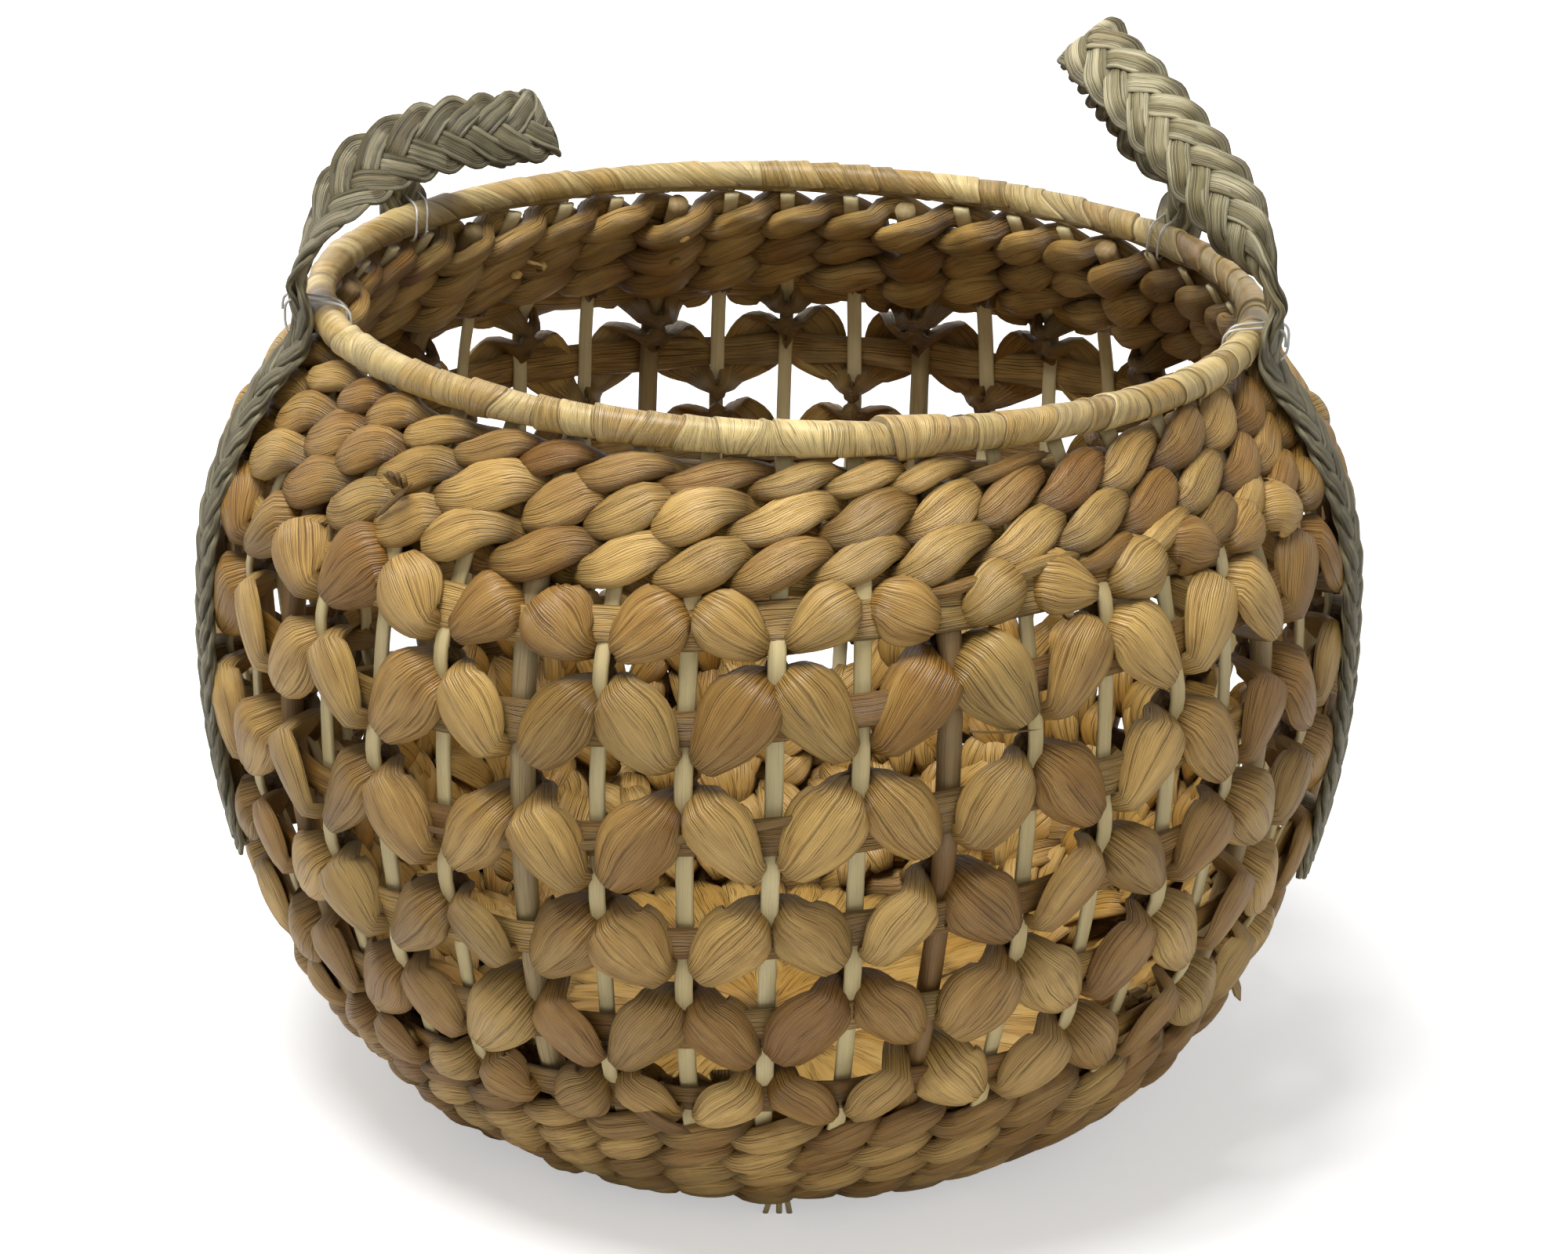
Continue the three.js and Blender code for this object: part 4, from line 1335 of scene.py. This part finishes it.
def fraction(label, about, default, most=1.0):
    """A share of a whole that a user may change."""
    return FloatProperty(name=label, description=about, default=default, min=0.0, max=most,
                         subtype="FACTOR")


def whole(label, about, default, least):
    """A number of things that a user may change."""
    return IntProperty(name=label, description=about, default=default, min=least)


def plain(label, about, default, unit="NONE"):
    """A number that a user may change."""
    return FloatProperty(name=label, description=about, default=default, unit=unit)


def degrees(label, about, default):
    """An angle that a user may change, from its degrees."""
    return FloatProperty(name=label, description=about, default=math.radians(default),
                         subtype="ANGLE", unit="ROTATION")


def dye(label, about, code):
    """A colour that a user may change, from its code as it is seen, such as b98f52."""
    parts = [int(code[i:i + 2], 16) / 255 for i in (0, 2, 4)]
    linear = [c / 12.92 if c <= 0.04045 else ((c + 0.055) / 1.055) ** 2.4 for c in parts]
    return FloatVectorProperty(name=label, description=about, default=linear, size=3, min=0.0,
                               max=1.0, subtype="COLOR")


class BasketTwining(bpy.types.PropertyGroup):
    """Sizes of the close twined rows"""

    thick: metres("Strand", "Thickness of a twined strand", 0.0095)
    lay: fraction("Lay", "How steeply the lobes lie, as a share of the row", 0.31, most=0.5)
    rings: whole("Rings", "Rings of points to each lobe", 8, 4)
    sides: whole("Sides", "Points round a strand", 24, 8)


class BasketOpenwork(bpy.types.PropertyGroup):
    """Sizes of the openwork and the reeds"""

    ribbon: metres("Core", "Width of the flat core strand", 0.0125)
    petal: metres("Petal", "Width of a petal", 0.0245)
    tip_room: metres("Tip room", "How far the tips stay from the edge of their row", 0.0042)
    reed: metres("Reed", "Width of a flat reed", 0.006)
    climb: metres("Climb", "How far the rows climb and sink round the basket", 0.015)
    sides: whole("Sides", "Points round a petal", 40, 12)


class BasketBase(bpy.types.PropertyGroup):
    """Make of the base and the lining"""

    leaf_ends: whole("Leaf ends", "Loose leaf ends on the lower wall inside", 620, 0)


class BasketRim(bpy.types.PropertyGroup):
    """Sizes of the rim"""

    wraps: whole("Wraps", "Turns of strip round the hoop", 76, 20)


class BasketStrap(bpy.types.PropertyGroup):
    """Sizes of the braided straps"""

    width: metres("Width", "Width of a strap", 0.026)
    thick: metres("Thickness", "Thickness of a strap", 0.0052)
    strands: whole("Strands", "Strands in the braid", 5, 3)
    strand_width: metres("Strand", "Width of one strand of the braid", 0.0082)
    pitch: metres("Pitch", "Length of one lobe of the braid", 0.0122)


class BasketColours(bpy.types.PropertyGroup):
    """Colours of the fibres"""

    straw: dye("Straw", "Light side of a twined leaf", "d0ab63")
    leaf: dye("Leaf", "Body of a twined leaf", "855d20")
    pale_straw: dye("Pale straw", "Light side of a petal", "d0ab63")
    petal: dye("Petal", "Body of a petal", "896123")
    floor: dye("Floor", "Body of a leaf of the floor", "b3863c")
    # Crease gives the fibre lines, and a darker copy of it gives the painted shade in folds and under
    # crossing strands.
    crease: dye("Crease", "Creases and folds", "361d05")
    # Stain also gives the browner painted shade towards a strand's pinches.
    stain: dye("Stain", "Brown stains", "774d18")
    green: dye("Green", "Places where the leaf is still green", "716636")
    rim_light: dye("Rim light", "Light side of the rim strip", "ebd393")
    rim: dye("Rim", "Body of the rim strip", "b08d48")
    reed_light: dye("Reed light", "Light side of a reed", "ded0a2")
    reed: dye("Reed", "Body of a reed", "c2af7c")
    reed_line: dye("Reed line", "Lines along a reed", "86724a")
    cane_light: dye("Cane light", "Light side of a cane", "b39e74")
    cane: dye("Cane", "Body of a cane", "8a7348")
    grass_light: dye("Sea grass light", "Light side of the sea grass", "ddd3ac")
    grass: dye("Sea grass", "Body of the sea grass", "867b54")
    # Sea grass line gives the lines, and a darker copy of it gives the painted shade between the
    # braided strands.
    grass_line: dye("Sea grass line", "Lines along the sea grass", "2c2412")
    thread: dye("Thread", "The clear thread", "e6e4dc")


class BasketStage(bpy.types.PropertyGroup):
    """Light and camera"""

    top_light: plain("Top light", "Power of the top light", 34.5, "POWER")
    front_light: plain("Front light", "Power of the front light", 8.0, "POWER")
    back_light: plain("Back light", "Power of the back light", 6.0, "POWER")
    room_light: fraction("Room light", "Strength of the light all round", 0.22)
    floor_glow: fraction("Floor glow", "How much whiter the camera sees the floor", 0.46)
    lens: plain("Lens", "Focal length", 89.13, "CAMERA")
    elevation: degrees("Elevation", "How far the camera looks down", 21.75)
    roll: degrees("Roll", "Tilt of the camera", 1.62)
    distance: metres("Distance", "How far the camera stands from the basket", 1.4622)
    target_z: metres("Target", "Height that the camera looks at", 0.1558)
    centre_x: plain("Centre X", "Middle of the view, in photo pixels", 990.4)
    centre_y: plain("Centre Y", "Middle of the view, in photo pixels", 863.5)


class BASKET_PT_panel(bpy.types.Panel):
    """Lists the pieces of the basket"""

    bl_label = "Basket"
    bl_idname = "BASKET_PT_panel"
    bl_space_type = "VIEW_3D"
    bl_region_type = "UI"
    bl_category = "Basket"

    def draw(self, context):
        for operator in OPERATORS:
            self.layout.operator(operator.bl_idname)
        for name in SETTINGS:
            box = self.layout.box()
            settings = getattr(context.scene, name)
            for key in settings.__annotations__:
                box.prop(settings, key)


OPERATORS = (
    BASKET_OT_base, BASKET_OT_lining, BASKET_OT_stakes, BASKET_OT_lower_rows, BASKET_OT_ribbons,
    BASKET_OT_petals, BASKET_OT_upper_rows, BASKET_OT_loose_ends, BASKET_OT_rim, BASKET_OT_straps,
    BASKET_OT_ties, BASKET_OT_stage,
)
SETTINGS = {
    "basket_twining": BasketTwining,
    "basket_openwork": BasketOpenwork,
    "basket_base": BasketBase,
    "basket_rim": BasketRim,
    "basket_strap": BasketStrap,
    "basket_colours": BasketColours,
    "basket_stage": BasketStage,
}


def register():
    """Registers the settings, operators and panel."""
    for name, group in SETTINGS.items():
        bpy.utils.register_class(group)
        setattr(bpy.types.Scene, name, PointerProperty(type=group))
    for operator in (*OPERATORS, BASKET_PT_panel):
        bpy.utils.register_class(operator)


def unregister():
    """Removes what register added."""
    for operator in (BASKET_PT_panel, *reversed(OPERATORS)):
        bpy.utils.unregister_class(operator)
    for name, group in SETTINGS.items():
        delattr(bpy.types.Scene, name)
        bpy.utils.unregister_class(group)


def main():
    """Weaves the whole basket and sets the stage."""
    register()
    for operator in OPERATORS:
        group, name = operator.bl_idname.split(".")
        getattr(getattr(bpy.ops, group), name)()


if __name__ == "__main__":
    main()
